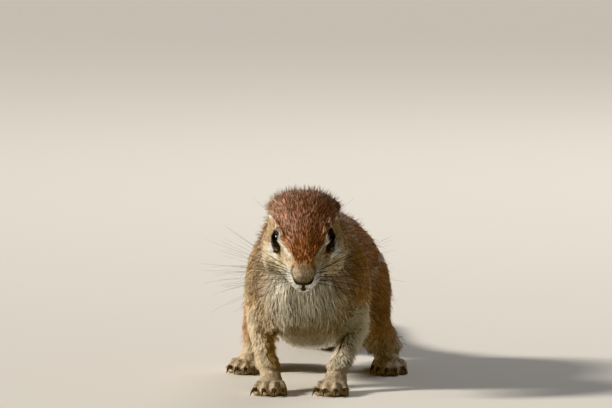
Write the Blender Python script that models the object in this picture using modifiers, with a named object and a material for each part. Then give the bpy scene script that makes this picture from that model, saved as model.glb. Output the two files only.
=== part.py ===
"""Cape ground squirrel (Xerus inauris), life size, in a low crouch on all fours.

The solids reach out to the tips of the coat. The animal faces -Y, its left side is +X, and
it stands on the plane z = 0. Its flesh is fused from rounded forms and then parted into
named pieces with thin cuts. Sizes are in millimetres until a mesh is made.
"""

import math

import bmesh
import bpy
import numpy as np
from mathutils import Matrix, Vector

MM = 0.001
SIDES = {"left": 1, "right": -1}

# Driving sizes of the whole animal.
HEAD_LENGTH = 62.0
HEAD_PITCH = math.radians(27)  # the nose points this far below level
HEAD_YAW = math.radians(4)  # the face turns this far towards the animal's left
OCCIPUT = (0.0, 11.0, 82.0)
EYE_RADIUS = 5.0
GAP = 0.3  # clear space between two pieces
SHRINKAGE = 0.5  # what melting takes off a slender limb of the body

# Triangles that each fused form is thinned to.
BODY_TRIANGLES = 1700
HEAD_TRIANGLES = 1650
FOREPAW_TRIANGLES = 360
HINDFOOT_TRIANGLES = 420
CELL_TRIANGLES = 150

# Stations of the head in its own axes: back from the nose tip, half width, height above
# and depth below the line from nose tip to occiput.
HEAD = [
    (0.0, 3.6, 2.8, 4.4),
    (3.0, 5.6, 5.0, 7.4),
    (8.0, 7.3, 7.8, 9.9),
    (14.0, 9.0, 10.2, 12.6),
    (20.0, 11.0, 12.4, 14.8),
    (26.0, 13.2, 14.1, 16.7),
    (34.0, 15.8, 15.4, 18.9),
    (43.0, 17.8, 15.8, 20.4),
    (52.0, 17.8, 13.4, 20.6),
    (62.0, 17.2, 7.6, 19.6),
]
# Rounded muscles and pads of the head: centre and half sizes, mirrored to both sides.
HEAD_SWELLINGS = {
    "cheek": ((11.6, 39.0, -7.5), (8.6, 13.0, 11.0)),
    "brow": ((8.6, 30.0, 7.8), (5.6, 13.0, 4.6)),
    "whisker_pad": ((3.5, 8.0, -2.6), (4.1, 6.2, 4.4)),
    "chin": ((1.2, 9.0, -7.4), (3.0, 5.6, 3.2)),
}
EYE_CENTRE = (9.2, 26.4, 4.8)
EAR_CENTRE = (16.0, 49.0, 6.6)
EAR_SIZE = (1.8, 4.2, 4.3)
EAR_SCOOP = (1.4, 3.1, 3.3)
NOSE_CENTRE = (0.0, 1.2, -0.6)
NOSE_SIZE = (4.5, 2.4, 3.2)

# Stations of the trunk: y, z, half width, height above and depth below the centre line.
TRUNK = [
    (4.0, 45.0, 8.0, 10.0, 10.0),
    (12.0, 46.0, 16.0, 19.0, 18.5),
    (26.0, 46.5, 21.0, 26.0, 24.0),
    (45.0, 46.0, 23.5, 27.5, 28.0),
    (70.0, 45.0, 25.5, 30.0, 31.0),
    (98.0, 43.5, 27.0, 32.0, 31.0),
    (122.0, 41.0, 27.5, 29.5, 28.0),
    (142.0, 37.0, 24.5, 23.5, 23.0),
    (156.0, 33.5, 18.0, 16.5, 17.0),
    (165.0, 31.0, 9.5, 9.0, 9.0),
]
NECK = [
    (0.0, 73.5, 17.0, 16.2, 15.5),
    (10.0, 69.5, 19.0, 17.2, 18.0),
    (21.0, 64.0, 20.5, 18.4, 20.0),
    (33.0, 58.0, 22.0, 18.5, 21.0),
    (45.0, 53.0, 23.0, 20.5, 22.0),
]
# Stations of the left limbs: x, y, z, half width, then the extent behind and in front of
# the centre line where the limb runs down, or above and below it where it runs back.
FORELEG = [
    (13.5, 39.0, 67.0, 4.0, 5.0, 4.0),
    (16.5, 38.0, 60.0, 7.5, 11.0, 9.0),
    (19.4, 37.0, 50.0, 8.0, 12.5, 11.0),
    (21.4, 37.0, 39.0, 7.0, 9.5, 10.0),
    (21.0, 30.0, 29.0, 6.2, 6.8, 7.2),
    (18.0, 20.0, 18.0, 5.3, 5.4, 5.6),
    (14.4, 10.0, 8.0, 4.8, 4.6, 4.8),
]
THIGH = [
    (9.0, 143.0, 54.0, 4.0, 8.0, 6.0),
    (14.0, 134.0, 48.0, 9.5, 18.0, 16.0),
    (18.0, 121.0, 41.0, 12.5, 23.0, 20.0),
    (21.0, 107.0, 33.0, 11.5, 19.0, 16.0),
    (23.6, 96.0, 25.0, 8.6, 11.0, 10.0),
    (24.6, 91.0, 21.0, 5.0, 5.0, 5.0),
]
SHANK = [
    (24.4, 95.0, 23.0, 8.4, 9.5, 9.0),
    (26.4, 108.0, 18.0, 7.8, 8.4, 8.4),
    (28.4, 124.0, 12.6, 6.6, 7.2, 7.2),
    (29.8, 140.0, 8.2, 5.4, 5.6, 5.6),
]
PALM = [
    (13.6, -6.0, 3.2, 5.6, 3.4, 4.4),
    (13.8, -2.0, 3.8, 6.2, 3.8, 4.9),
    (14.2, 5.0, 4.8, 5.6, 4.6, 5.8),
    (14.6, 11.0, 6.4, 4.8, 4.8, 7.2),
    (14.7, 14.0, 6.0, 2.4, 2.4, 4.0),
]
SOLE = [
    (32.6, 103.0, 4.0, 6.4, 3.6, 5.1),
    (32.0, 110.0, 4.4, 5.9, 4.0, 5.5),
    (31.0, 124.0, 4.8, 4.9, 4.4, 5.8),
    (30.2, 138.0, 5.2, 4.9, 5.0, 6.2),
    (29.9, 145.0, 5.6, 3.8, 4.6, 6.2),
    (29.8, 147.5, 6.0, 1.6, 2.0, 3.0),
]
# Toes of the left paws: sideways place of the root, y of root and tip, and sideways turn.
FORE_TOES = [
    (9.6, -1.0, -9.5, -2.4),
    (12.2, -4.0, -13.8, -1.0),
    (15.0, -4.0, -13.8, 0.8),
    (17.6, -1.5, -10.0, 2.4),
]
HIND_TOES = [
    (27.2, 112.0, 102.0, -2.0),
    (29.4, 105.0, 91.5, -1.4),
    (32.0, 104.0, 88.5, 0.0),
    (34.6, 104.5, 89.5, 1.4),
    (37.0, 110.0, 97.5, 2.6),
]
FORE_TOE_RADIUS = 2.1
HIND_TOE_RADIUS = 2.2
FORE_CLAW_LENGTH = 7.2
HIND_CLAW_LENGTH = 6.4
CLAW_RADIUS = 0.95
CLAW_RISE = 0.45  # clear space between a claw's tip and the floor

# Stations of the tail's brush: x, y, z, half width, height above and depth below.
TAIL = [
    (0.0, 156.0, 37.0, 9.0, 10.0, 9.0),
    (0.0, 170.0, 31.0, 11.0, 10.0, 10.0),
    (-1.0, 188.0, 22.0, 15.0, 10.0, 11.0),
    (-3.0, 210.0, 14.5, 19.0, 10.0, 12.0),
    (-8.0, 250.0, 10.4, 24.0, 10.5, 11.2),
    (-13.5, 295.0, 9.7, 26.0, 10.5, 10.6),
    (-18.5, 340.0, 9.2, 24.0, 9.5, 10.1),
    (-21.0, 370.0, 8.2, 17.0, 7.5, 9.0),
    (-22.0, 392.0, 6.2, 5.0, 3.5, 5.0),
]
TAIL_CUTS = (164.0, 238.0, 318.0)

# Where the pieces part.
HEAD_CELL = (-12.0, 57.0, -21.0, 40.0)  # back from nose, back to the cut, below, above
NECK_CELL_DEPTH = 50.0
SHOULDER_PLANE = ((0.0, 36.0, 62.0), (0.0, 0.8, -0.6))  # a point and its normal
WRIST_HEIGHT = 12.0
ANKLE_HEIGHT = 10.5
LEG_PAD = 2.4  # how far a leg's cut lies outside its own form
LEG_REACH = 8.0  # how much further out the cut goes, so that it leaves the body steeply

FUR = (0.42, 0.24, 0.12, 1)
COLOURS = {
    "head": ((0.38, 0.17, 0.08, 1), 0.85),
    "neck": ((0.44, 0.25, 0.13, 1), 0.85),
    "trunk": (FUR, 0.85),
    "tail": ((0.55, 0.50, 0.44, 1), 0.85),
    "ear": ((0.40, 0.27, 0.18, 1), 0.8),
    "eye": ((0.012, 0.008, 0.006, 1), 0.08),
    "nose": ((0.10, 0.07, 0.06, 1), 0.45),
    "foreleg": ((0.62, 0.50, 0.34, 1), 0.85),
    "forepaw": ((0.66, 0.56, 0.42, 1), 0.85),
    "hindleg": ((0.50, 0.33, 0.18, 1), 0.85),
    "hindfoot": ((0.64, 0.54, 0.40, 1), 0.85),
    "claw": ((0.07, 0.05, 0.04, 1), 0.4),
}


def clear_scene():
    """Removes whatever the startup scene holds."""
    for item in list(bpy.data.objects):
        bpy.data.objects.remove(item, do_unlink=True)


def new_collection(name, hidden=False):
    """A collection in the scene; the helpers' one isn't rendered."""
    group = bpy.data.collections.new(name)
    group.hide_render = hidden
    bpy.context.scene.collection.children.link(group)
    return group


def material(kind):
    """The plain finish of one kind of piece."""
    found = bpy.data.materials.get(kind)
    if found:
        return found
    colour, roughness = COLOURS[kind]
    made = bpy.data.materials.new(kind)
    made.use_nodes = True
    shader = made.node_tree.nodes["Principled BSDF"]
    shader.inputs["Base Color"].default_value = colour
    shader.inputs["Roughness"].default_value = roughness
    shader.inputs["Metallic"].default_value = 0.0
    return made


def head_matrix():
    """From the head's own axes (origin at the nose tip, +Y back, +Z up) to the body's."""
    turn = Matrix.Rotation(HEAD_YAW, 4, "Z") @ Matrix.Rotation(HEAD_PITCH, 4, "X")
    nose_tip = Vector(OCCIPUT) - turn @ Vector((0, HEAD_LENGTH, 0))
    return Matrix.Translation(nose_tip) @ turn


def mirrored(rows, side):
    """Limb stations for one side of the body."""
    return [(row[0] * side, *row[1:]) for row in rows]


def smooth_rows(rows, steps):
    """Rows between the given ones, on a Catmull-Rom curve through all of them."""
    rows = np.array(rows, float)
    padded = np.vstack([2 * rows[0] - rows[1], rows, 2 * rows[-1] - rows[-2]])
    before, start, end, after = padded[:-3], padded[1:-2], padded[2:-1], padded[3:]
    between = []
    for share in np.arange(steps) / steps:
        between.append(
            start
            + 0.5 * share * (end - before)
            + share**2 * (before - 2.5 * start + 2 * end - 0.5 * after)
            + share**3 * (1.5 * (start - end) + 0.5 * (after - before))
        )
    fine = np.stack(between, axis=1).reshape(-1, rows.shape[1])
    return np.vstack([fine, rows[-1]])


def grown(rows, pad):
    """Stations with every half size larger by pad, and both ends carried on by pad."""
    rows = np.array(rows, float)
    rows[:, 3:] += pad
    for end, inner in ((0, 1), (-1, -2)):
        way = rows[end, :3] - rows[inner, :3]
        rows[end, :3] += way / np.linalg.norm(way) * pad
    return rows


def add_loft(shape, rows, sides=20, fullness=2.0, matrix=None, steps=5):
    """Adds a closed tube through the stations: x, y, z, half width, above, below.

    Each ring stands square to the path. Its outline is a superellipse of the given
    fullness, with its own extent above and below the centre line.
    """
    fine = smooth_rows(rows, steps)
    centres = fine[:, :3]
    tangents = np.gradient(centres, axis=0)
    tangents /= np.linalg.norm(tangents, axis=1)[:, None]
    across = np.array([1.0, 0.0, 0.0]) - tangents[:, :1] * tangents
    across /= np.linalg.norm(across, axis=1)[:, None]
    up = np.cross(across, tangents)
    angle = np.arange(sides) / sides * 2 * math.pi
    power = 2 / fullness
    cos = np.sign(np.cos(angle)) * np.abs(np.cos(angle)) ** power
    sin = np.sign(np.sin(angle)) * np.abs(np.sin(angle)) ** power
    reach = np.where(sin > 0, fine[:, 4:5], fine[:, 5:6])
    rings = (
        centres[:, None]
        + (fine[:, 3:4] * cos)[..., None] * across[:, None]
        + (reach * sin)[..., None] * up[:, None]
    )
    matrix = matrix or Matrix.Identity(4)
    verts = [[shape.verts.new(matrix @ Vector(p)) for p in ring] for ring in rings]
    for near, far in zip(verts, verts[1:]):
        for i in range(sides):
            j = (i + 1) % sides
            shape.faces.new((near[i], far[i], far[j], near[j]))
    shape.faces.new(verts[0])
    shape.faces.new(verts[-1][::-1])


def add_ball(shape, centre, radii, matrix=None, turn=None, around=14):
    """Adds an ellipsoid; turn is its own rotation about its centre."""
    place = (matrix or Matrix.Identity(4)) @ Matrix.Translation(centre)
    stretch = Matrix.Diagonal((*radii, 1))
    bmesh.ops.create_uvsphere(
        shape,
        u_segments=around,
        v_segments=around * 5 // 8,
        radius=1.0,
        matrix=place @ (turn or Matrix.Identity(4)) @ stretch,
    )


def add_block(shape, low, high, matrix=None):
    """Adds a box between two corners."""
    low, high = Vector(low), Vector(high)
    stretch = Matrix.Diagonal((*(high - low), 1))
    place = (matrix or Matrix.Identity(4)) @ Matrix.Translation((low + high) / 2)
    bmesh.ops.create_cube(shape, size=1.0, matrix=place @ stretch)


def finished(shape, name, collection):
    """Turns a bmesh in millimetres into an object in metres."""
    bmesh.ops.recalc_face_normals(shape, faces=shape.faces[:])
    bmesh.ops.transform(shape, matrix=Matrix.Scale(MM, 4), verts=shape.verts[:])
    mesh = bpy.data.meshes.new(name)
    shape.to_mesh(mesh)
    shape.free()
    made = bpy.data.objects.new(name, mesh)
    collection.objects.link(made)
    return made


def evaluated_copy(source, name, collection):
    """A mesh object that holds source with all of its modifiers applied."""
    graph = bpy.context.evaluated_depsgraph_get()
    mesh = bpy.data.meshes.new_from_object(source.evaluated_get(graph))
    made = bpy.data.objects.new(name, mesh)
    collection.objects.link(made)
    return made


def fused(shape, name, voxel, smoothing, triangles):
    """Melts overlapping forms into one skin and thins it to about so many triangles."""
    forms = finished(shape, name + "_forms", HELPERS)
    remesh = forms.modifiers.new("melt", "REMESH")
    remesh.mode = "VOXEL"
    remesh.voxel_size = voxel * MM
    relax = forms.modifiers.new("relax", "SMOOTH")
    relax.factor = 0.5
    relax.iterations = smoothing
    melted = evaluated_copy(forms, name + "_melted", HELPERS)
    melted.data.calc_loop_triangles()
    thin = melted.modifiers.new("thin", "DECIMATE")
    thin.ratio = triangles / len(melted.data.loop_triangles)
    return evaluated_copy(melted, name + "_whole", HELPERS)


def cutter(shape, name):
    """A bmesh as a helper that cuts and is never drawn."""
    made = finished(shape, name, HELPERS)
    made.display_type = "WIRE"
    made.hide_render = True
    return made


def cell(name, build, plane=None):
    """A closed region of space for cutting; plane, a point and a normal, trims it."""
    shape = bmesh.new()
    build(shape)
    if plane:
        point, normal = plane
        cut = bmesh.ops.bisect_plane(
            shape,
            geom=shape.verts[:] + shape.edges[:] + shape.faces[:],
            plane_co=point,
            plane_no=normal,
            clear_outer=True,
        )
        edges = [e for e in cut["geom_cut"] if isinstance(e, bmesh.types.BMEdge)]
        bmesh.ops.holes_fill(shape, edges=edges)
    return cutter(shape, name)


def carved(source, name, kind, steps, solver="EXACT"):
    """A named piece: a copy of source with each (operation, cutter) applied in turn."""
    piece = bpy.data.objects.new(name, source.data.copy())
    HELPERS.objects.link(piece)
    for operation, tool in steps:
        cut = piece.modifiers.new(operation.lower(), "BOOLEAN")
        cut.operation = operation
        cut.solver = solver
        cut.object = tool
    made = evaluated_copy(piece, name + "_cut", SQUIRREL)
    bpy.data.objects.remove(piece)
    made.name = name
    dress(made, kind)
    return made


def dress(piece, kind):
    """Gives a piece its finish and smooth shading."""
    piece.data.materials.clear()
    piece.data.materials.append(material(kind))
    piece.data.shade_smooth()


def limb_forms(shape, side):
    """The upper parts of one side's legs, as the trunk carries them."""
    for rows in (FORELEG, THIGH, SHANK):
        add_loft(shape, grown(mirrored(rows, side), SHRINKAGE))


def head_forms(shape):
    """Skull, muzzle, cheeks and brows, with the coat on."""
    place = head_matrix()
    rows = [(0.0, back, 0.0, wide, up, down) for back, wide, up, down in HEAD]
    add_loft(shape, rows, sides=28, fullness=2.3, matrix=place)
    for centre, size in HEAD_SWELLINGS.values():
        for side in SIDES.values():
            add_ball(shape, (centre[0] * side, *centre[1:]), size, place)


def neck_form(shape):
    add_loft(shape, [(0.0, *row) for row in NECK], sides=28)


def trunk_form(shape):
    add_loft(shape, [(0.0, *row) for row in TRUNK], sides=32, fullness=2.2)


def tail_form(shape):
    add_loft(shape, TAIL, sides=28, fullness=2.2)


def toe_rows(toe, side, radius):
    """Stations of one toe: it arches over its middle joint and ends in a round tip."""
    across, root, tip, turn = toe
    end = across + turn
    length = tip - root
    return mirrored(
        [
            (end, tip, 2.3, radius * 0.72, radius * 0.7, radius * 0.6),
            (across + turn * 0.8, root + length * 0.75, 2.8, radius, radius * 1.1, 3.6),
            (across + turn * 0.4, root + length * 0.35, 3.8, radius * 1.05, radius * 1.4, 4.4),
            (across, root, 3.8, radius * 1.05, radius * 1.3, 4.8),
        ],
        side,
    )


def paw_forms(shape, side, palm, toes, radius, leg):
    """One paw with its toes, and the leg above it so that the two meet flush."""
    add_loft(shape, mirrored(palm, side))
    add_loft(shape, mirrored(leg, side))
    for toe in toes:
        add_loft(shape, toe_rows(toe, side, radius), sides=14)


def claw_rows(toe, side, radius, length):
    """Stations of one claw: out of the toe's tip, over and down to a fine point."""
    across, root, tip, turn = toe
    way = Vector((turn, tip - root, 0)).normalized()
    start = Vector((across + turn, tip, radius * 1.35)) - way * 1.2
    rows = []
    for share, size in ((0.0, 1.0), (0.35, 0.86), (0.7, 0.55), (1.0, 0.16)):
        place = start + way * length * share
        height = start.z + 0.9 * math.sin(share * math.pi * 0.6)
        drop = (start.z + 0.86 - CLAW_RISE - CLAW_RADIUS * size) * share**1.8
        rows.append(
            (place.x, place.y, height - drop, CLAW_RADIUS * size * 0.8, *[CLAW_RADIUS * size] * 2)
        )
    return mirrored(rows, side)


def solid(name, kind, build):
    """A piece made straight from its own form."""
    shape = bmesh.new()
    build(shape)
    made = finished(shape, name, SQUIRREL)
    dress(made, kind)
    return made


def build_claws(word, side_name, toes, radius, length):
    """The claws of one paw, and the one cutter that seats them all."""
    side = SIDES[side_name]
    seats = bmesh.new()
    for number, toe in enumerate(toes, 1):
        rows = claw_rows(toe, side, radius, length)
        name = f"claw_{word}_{side_name}_{number}"
        solid(name, "claw", lambda s: add_loft(s, rows, sides=6, steps=1))
        add_loft(seats, grown(rows, GAP), sides=6, steps=1)
    return cutter(seats, f"claw_seats_{word}_{side_name}")


def build_body():
    """Trunk, neck, legs and tail, cut from one fused body."""
    shape = bmesh.new()
    head_forms(shape)
    neck_form(shape)
    trunk_form(shape)
    tail_form(shape)
    for side in SIDES.values():
        limb_forms(shape, side)
    whole = fused(shape, "body", 1.1, 10, BODY_TRIANGLES)

    leg_planes = {"foreleg": (15.0, 0.22), "hindleg": (15.5, 0.0)}
    floor = cell("under_floor", lambda s: add_block(s, (-90, -90, -30), (90, 460, 0)))
    taken = []
    for side_name, side in SIDES.items():
        for kind, forms, height in (
            ("foreleg", (FORELEG,), WRIST_HEIGHT),
            ("hindleg", (THIGH, SHANK), ANKLE_HEIGHT),
        ):
            inner, slope = leg_planes[kind]
            plane = ((inner * side, 0, 55), (-side, 0, slope))
            build_leg(whole, kind, side_name, side, forms, height, plane, taken)

    head_low = cell("head_cell", lambda s: add_head_cell(s, GAP / 2))
    neck_plane = (Vector(SHOULDER_PLANE[0]), Vector(SHOULDER_PLANE[1]))
    half_gap = neck_plane[1] * GAP / 2
    neck_in = cell(
        "neck_cell",
        lambda s: add_neck_cell(s, -GAP / 2),
        (neck_plane[0] - half_gap, neck_plane[1]),
    )
    neck_out = cell(
        "neck_cell_wide",
        lambda s: add_neck_cell(s, GAP / 2),
        (neck_plane[0] + half_gap, neck_plane[1]),
    )
    minus_legs = [("DIFFERENCE", other) for other in taken]
    carved(whole, "neck", "neck", [("INTERSECT", neck_in), *minus_legs])

    ends = [*TAIL_CUTS[1:], 460.0]
    for name, near, far in zip(("tail_root", "tail_middle", "tail_tip"), TAIL_CUTS, ends):
        low, high = (-60, near + GAP / 2, -60), (60, far - GAP / 2, 90)
        part = cell(name + "_cell", lambda s: add_block(s, low, high))
        carved(whole, name, "tail", [("INTERSECT", part), ("DIFFERENCE", floor)])
    behind = cell(
        "tail_side", lambda s: add_block(s, (-60, TAIL_CUTS[0] - GAP / 2, -60), (60, 460, 90))
    )
    others = [("DIFFERENCE", c) for c in (head_low, neck_out, behind)]
    carved(whole, "trunk", "trunk", [*minus_legs, *others])


def build_leg(whole, kind, side_name, side, forms, height, plane, taken):
    """Cuts one leg out of the body, and keeps the wider cell that the rest loses."""
    name = f"{kind}_{side_name}"
    shape = bmesh.new()
    for form in forms:
        rows = grown(mirrored(form, side), LEG_PAD)
        rows[:, 0] += side * LEG_REACH / 2
        rows[:, 3] += LEG_REACH / 2
        add_loft(shape, rows)
    region = fused(shape, name + "_region", 1.5, 4, CELL_TRIANGLES)
    inner = trimmed_cell(region, name + "_in", 0.0, plane)
    taken.append(trimmed_cell(region, name + "_out", GAP, plane))
    above = cell(
        name + "_above",
        lambda s: add_block(s, (-90, -90, height + GAP / 2), (90, 460, 160)),
    )
    carved(whole, name, kind, [("INTERSECT", inner), ("INTERSECT", above)])


def trimmed_cell(region, name, margin, plane):
    """A cutting cell: the region's surface moved out by margin and trimmed by the plane."""
    point, normal = Vector(plane[0]), Vector(plane[1]).normalized()

    def build(shape):
        shape.from_mesh(region.data)
        bmesh.ops.transform(shape, matrix=Matrix.Scale(1 / MM, 4), verts=shape.verts[:])
        shape.normal_update()
        moved = [(vert, vert.co + vert.normal * margin) for vert in shape.verts]
        for vert, place in moved:
            vert.co = place

    return cell(name, build, (point + normal * margin, normal))


def add_head_cell(shape, margin):
    near, far, low, high = HEAD_CELL
    add_block(
        shape,
        (-40 - margin, near - margin, low - margin),
        (40 + margin, far + margin, high + margin),
        head_matrix(),
    )


def add_neck_cell(shape, margin):
    far, low, high = HEAD_CELL[1:]
    add_block(
        shape,
        (-40 - margin, far - margin, low - margin),
        (40 + margin, far + NECK_CELL_DEPTH + margin, high + margin),
        head_matrix(),
    )


def build_head():
    """The head, its eyes, ears and nose, each seated in a hollow of the head."""
    shape = bmesh.new()
    head_forms(shape)
    neck_form(shape)
    whole = fused(shape, "head", 0.8, 6, HEAD_TRIANGLES)
    place = head_matrix()
    steps = [("INTERSECT", cell("head_keep", lambda s: add_head_cell(s, -GAP / 2)))]
    for side_name, side in SIDES.items():
        eye = (EYE_CENTRE[0] * side, *EYE_CENTRE[1:])
        solid(f"eye_{side_name}", "eye", lambda s: add_ball(s, eye, [EYE_RADIUS] * 3, place))
        socket = [EYE_RADIUS + GAP] * 3
        steps.append(
            ("DIFFERENCE", cell(f"socket_{side_name}", lambda s: add_ball(s, eye, socket, place)))
        )
        steps.append(("DIFFERENCE", build_ear(side_name, side, place)))
    solid("nose", "nose", lambda s: add_ball(s, NOSE_CENTRE, NOSE_SIZE, place, around=12))
    seat = [size + GAP for size in NOSE_SIZE]
    steps.append(("DIFFERENCE", cell("nose_seat", lambda s: add_ball(s, NOSE_CENTRE, seat, place, around=12))))
    carved(whole, "head", "head", steps)


def build_ear(side_name, side, place):
    """A low round flap, scooped in front; returns the cutter that seats it."""
    centre = (EAR_CENTRE[0] * side, *EAR_CENTRE[1:])
    lean = Matrix.Rotation(side * math.radians(-8), 4, "Y")
    flare = Matrix.Rotation(side * math.radians(-20), 4, "Z")
    turn = flare @ lean
    flap = bmesh.new()
    add_ball(flap, centre, EAR_SIZE, place, turn, around=10)
    blank = finished(flap, f"ear_{side_name}_blank", HELPERS)
    hollow = Vector(centre) + turn @ Vector((side * 1.5, -1.4, 0.5))
    scoop = cell(
        f"ear_{side_name}_scoop", lambda s: add_ball(s, hollow, EAR_SCOOP, place, turn, around=8)
    )
    carved(blank, f"ear_{side_name}", "ear", [("DIFFERENCE", scoop)])
    seat = [size + GAP for size in EAR_SIZE]
    return cell(f"ear_{side_name}_seat", lambda s: add_ball(s, centre, seat, place, turn, around=10))


def build_paws():
    """The four paws with their claws, standing on flats at the floor."""
    pairs = (
        ("fore", "forepaw", PALM, FORE_TOES, FORE_TOE_RADIUS, FORELEG[3:], FORE_CLAW_LENGTH),
        ("hind", "hindfoot", SOLE, HIND_TOES, HIND_TOE_RADIUS, SHANK, HIND_CLAW_LENGTH),
    )
    budgets = {"fore": FOREPAW_TRIANGLES, "hind": HINDFOOT_TRIANGLES}
    heights = {"fore": WRIST_HEIGHT, "hind": ANKLE_HEIGHT}
    for word, kind, palm, toes, radius, leg, length in pairs:
        top = heights[word] - GAP / 2
        keep = cell(f"{kind}_keep", lambda s: add_block(s, (-90, -90, 0), (90, 460, top)))
        for side_name, side in SIDES.items():
            shape = bmesh.new()
            paw_forms(shape, side, palm, toes, radius, leg)
            whole = fused(shape, f"{kind}_{side_name}", 0.5, 5, budgets[word])
            seats = build_claws(word, side_name, toes, radius, length)
            steps = [("DIFFERENCE", seats), ("INTERSECT", keep)]
            carved(whole, f"{kind}_{side_name}", kind, steps, solver="MANIFOLD")


def centre_on_origin(pieces):
    """Moves the whole animal so that its box stands centred on the origin."""
    corners = np.array([v.co for piece in pieces for v in piece.data.vertices])
    middle = (corners.min(axis=0) + corners.max(axis=0)) / 2
    shift = Matrix.Translation((-middle[0], -middle[1], 0))
    for piece in pieces:
        piece.data.transform(shift)


clear_scene()
SQUIRREL = new_collection("cape_ground_squirrel")
HELPERS = new_collection("helpers", hidden=True)
build_body()
build_head()
build_paws()
centre_on_origin(list(SQUIRREL.objects))
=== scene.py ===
"""A Cape ground squirrel as a still, life-size museum model: skin, coat, eyes, nose, ears, tail and claws.

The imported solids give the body's outline out to the tips of its coat.  Lengths here are in millimetres until
a mesh is built.  The animal faces -Y, its left is +X, and it stands on z = 0.
"""

import math

import bmesh
import bpy
import numpy as np
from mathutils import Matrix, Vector


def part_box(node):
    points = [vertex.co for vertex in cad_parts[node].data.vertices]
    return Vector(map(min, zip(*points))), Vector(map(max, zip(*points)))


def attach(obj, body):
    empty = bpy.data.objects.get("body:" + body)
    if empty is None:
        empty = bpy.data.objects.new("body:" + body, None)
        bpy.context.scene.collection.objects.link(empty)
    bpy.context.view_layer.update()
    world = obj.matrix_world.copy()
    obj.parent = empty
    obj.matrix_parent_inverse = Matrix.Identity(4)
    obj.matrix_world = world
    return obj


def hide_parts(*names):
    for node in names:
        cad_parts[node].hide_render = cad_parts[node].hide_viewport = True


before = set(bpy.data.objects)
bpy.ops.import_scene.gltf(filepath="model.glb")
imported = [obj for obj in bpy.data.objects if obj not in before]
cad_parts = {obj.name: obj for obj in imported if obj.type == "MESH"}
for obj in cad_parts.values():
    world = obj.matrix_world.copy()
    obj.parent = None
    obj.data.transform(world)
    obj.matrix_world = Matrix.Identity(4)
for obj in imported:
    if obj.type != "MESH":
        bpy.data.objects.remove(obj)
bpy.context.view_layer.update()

# --- Camera, floor and light ------------------------------------------------------------------------------
# The model is seen from low in front of its face, through a long lens.  It stands on a plain pale floor, in
# soft light from high on its right, with a weak softbox on its left, one behind it, and a pale room round it.

MM = 0.001
VIEW_TURN = math.radians(4.0)
VIEW_RISE = math.radians(4.0)
VIEW_DISTANCE = 3500.0
VIEW_WIDTH = 266.1
SENSOR = 36.0
AIM_ACROSS = 1.1
AIM_ABOVE = 33.0
FLOOR_HALF = 60000.0
LAMP_AIM = (0, -100, 40)
ROOM_LIGHT = 0.19


def box_middle(node):
    """The middle of a CAD node's box, in mm."""
    low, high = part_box(node)
    return (np.array(low) + np.array(high)) / 2 / MM


nose_middle = box_middle("nose")
view_back = Vector(
    (
        math.sin(VIEW_TURN) * math.cos(VIEW_RISE),
        -math.cos(VIEW_TURN) * math.cos(VIEW_RISE),
        math.sin(VIEW_RISE),
    )
)
view_right = Vector((math.cos(VIEW_TURN), math.sin(VIEW_TURN), 0.0))
view_up = view_back.cross(view_right)
aim = Vector(nose_middle) + view_right * AIM_ACROSS + view_up * AIM_ABOVE
camera_data = bpy.data.cameras.new("camera")
camera_data.sensor_width = SENSOR
camera_data.lens = SENSOR * VIEW_DISTANCE / VIEW_WIDTH
camera_data.clip_end = 200.0
camera = bpy.data.objects.new("camera", camera_data)
camera.location = (aim + view_back * VIEW_DISTANCE) * MM
camera.rotation_mode = "QUATERNION"
camera.rotation_quaternion = (-view_back).to_track_quat("-Z", "Y")
bpy.context.scene.collection.objects.link(camera)
bpy.context.scene.camera = camera


def linked(name, mesh):
    """An object for a mesh, at the origin, in the scene."""
    obj = bpy.data.objects.new(name, mesh)
    bpy.context.scene.collection.objects.link(obj)
    return obj


def triangle_mesh(name, points, triangles):
    """A smooth-shaded mesh from points in mm and rows of three point numbers."""
    mesh = bpy.data.meshes.new(name)
    mesh.vertices.add(len(points))
    mesh.vertices.foreach_set("co", (np.asarray(points, np.float32) * np.float32(MM)).ravel())
    mesh.loops.add(3 * len(triangles))
    mesh.loops.foreach_set("vertex_index", np.asarray(triangles, np.int32).ravel())
    mesh.polygons.add(len(triangles))
    mesh.polygons.foreach_set("loop_start", np.arange(0, 3 * len(triangles), 3, dtype=np.int32))
    mesh.update(calc_edges=True)
    return mesh


def plain_material(name, colour, roughness):
    """A Principled BSDF of one colour and roughness."""
    material = bpy.data.materials.new(name)
    material.use_nodes = True
    shader = material.node_tree.nodes["Principled BSDF"]
    shader.inputs["Base Color"].default_value = (*colour, 1.0)
    shader.inputs["Roughness"].default_value = roughness
    return material


floor_corners = FLOOR_HALF * np.array([(-1, -1, 0), (1, -1, 0), (1, 1, 0), (-1, 1, 0)])
floor = linked("floor", triangle_mesh("floor", floor_corners, [(0, 1, 2), (0, 2, 3)]))
floor.data.materials.append(plain_material("floor", (0.80, 0.765, 0.71), 0.9))


def studio_lamp(name, kind, place, power, colour):
    """A lamp of a kind at a place in mm, facing the model's shoulders."""
    data = bpy.data.lights.new(name, kind)
    data.energy = power
    data.color = colour
    lamp = bpy.data.objects.new(name, data)
    lamp.location = Vector(place) * MM
    lamp.rotation_mode = "QUATERNION"
    lamp.rotation_quaternion = (Vector(LAMP_AIM) - Vector(place)).to_track_quat("-Z", "Y")
    lamp.visible_camera = False
    bpy.context.scene.collection.objects.link(lamp)
    return data


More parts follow.
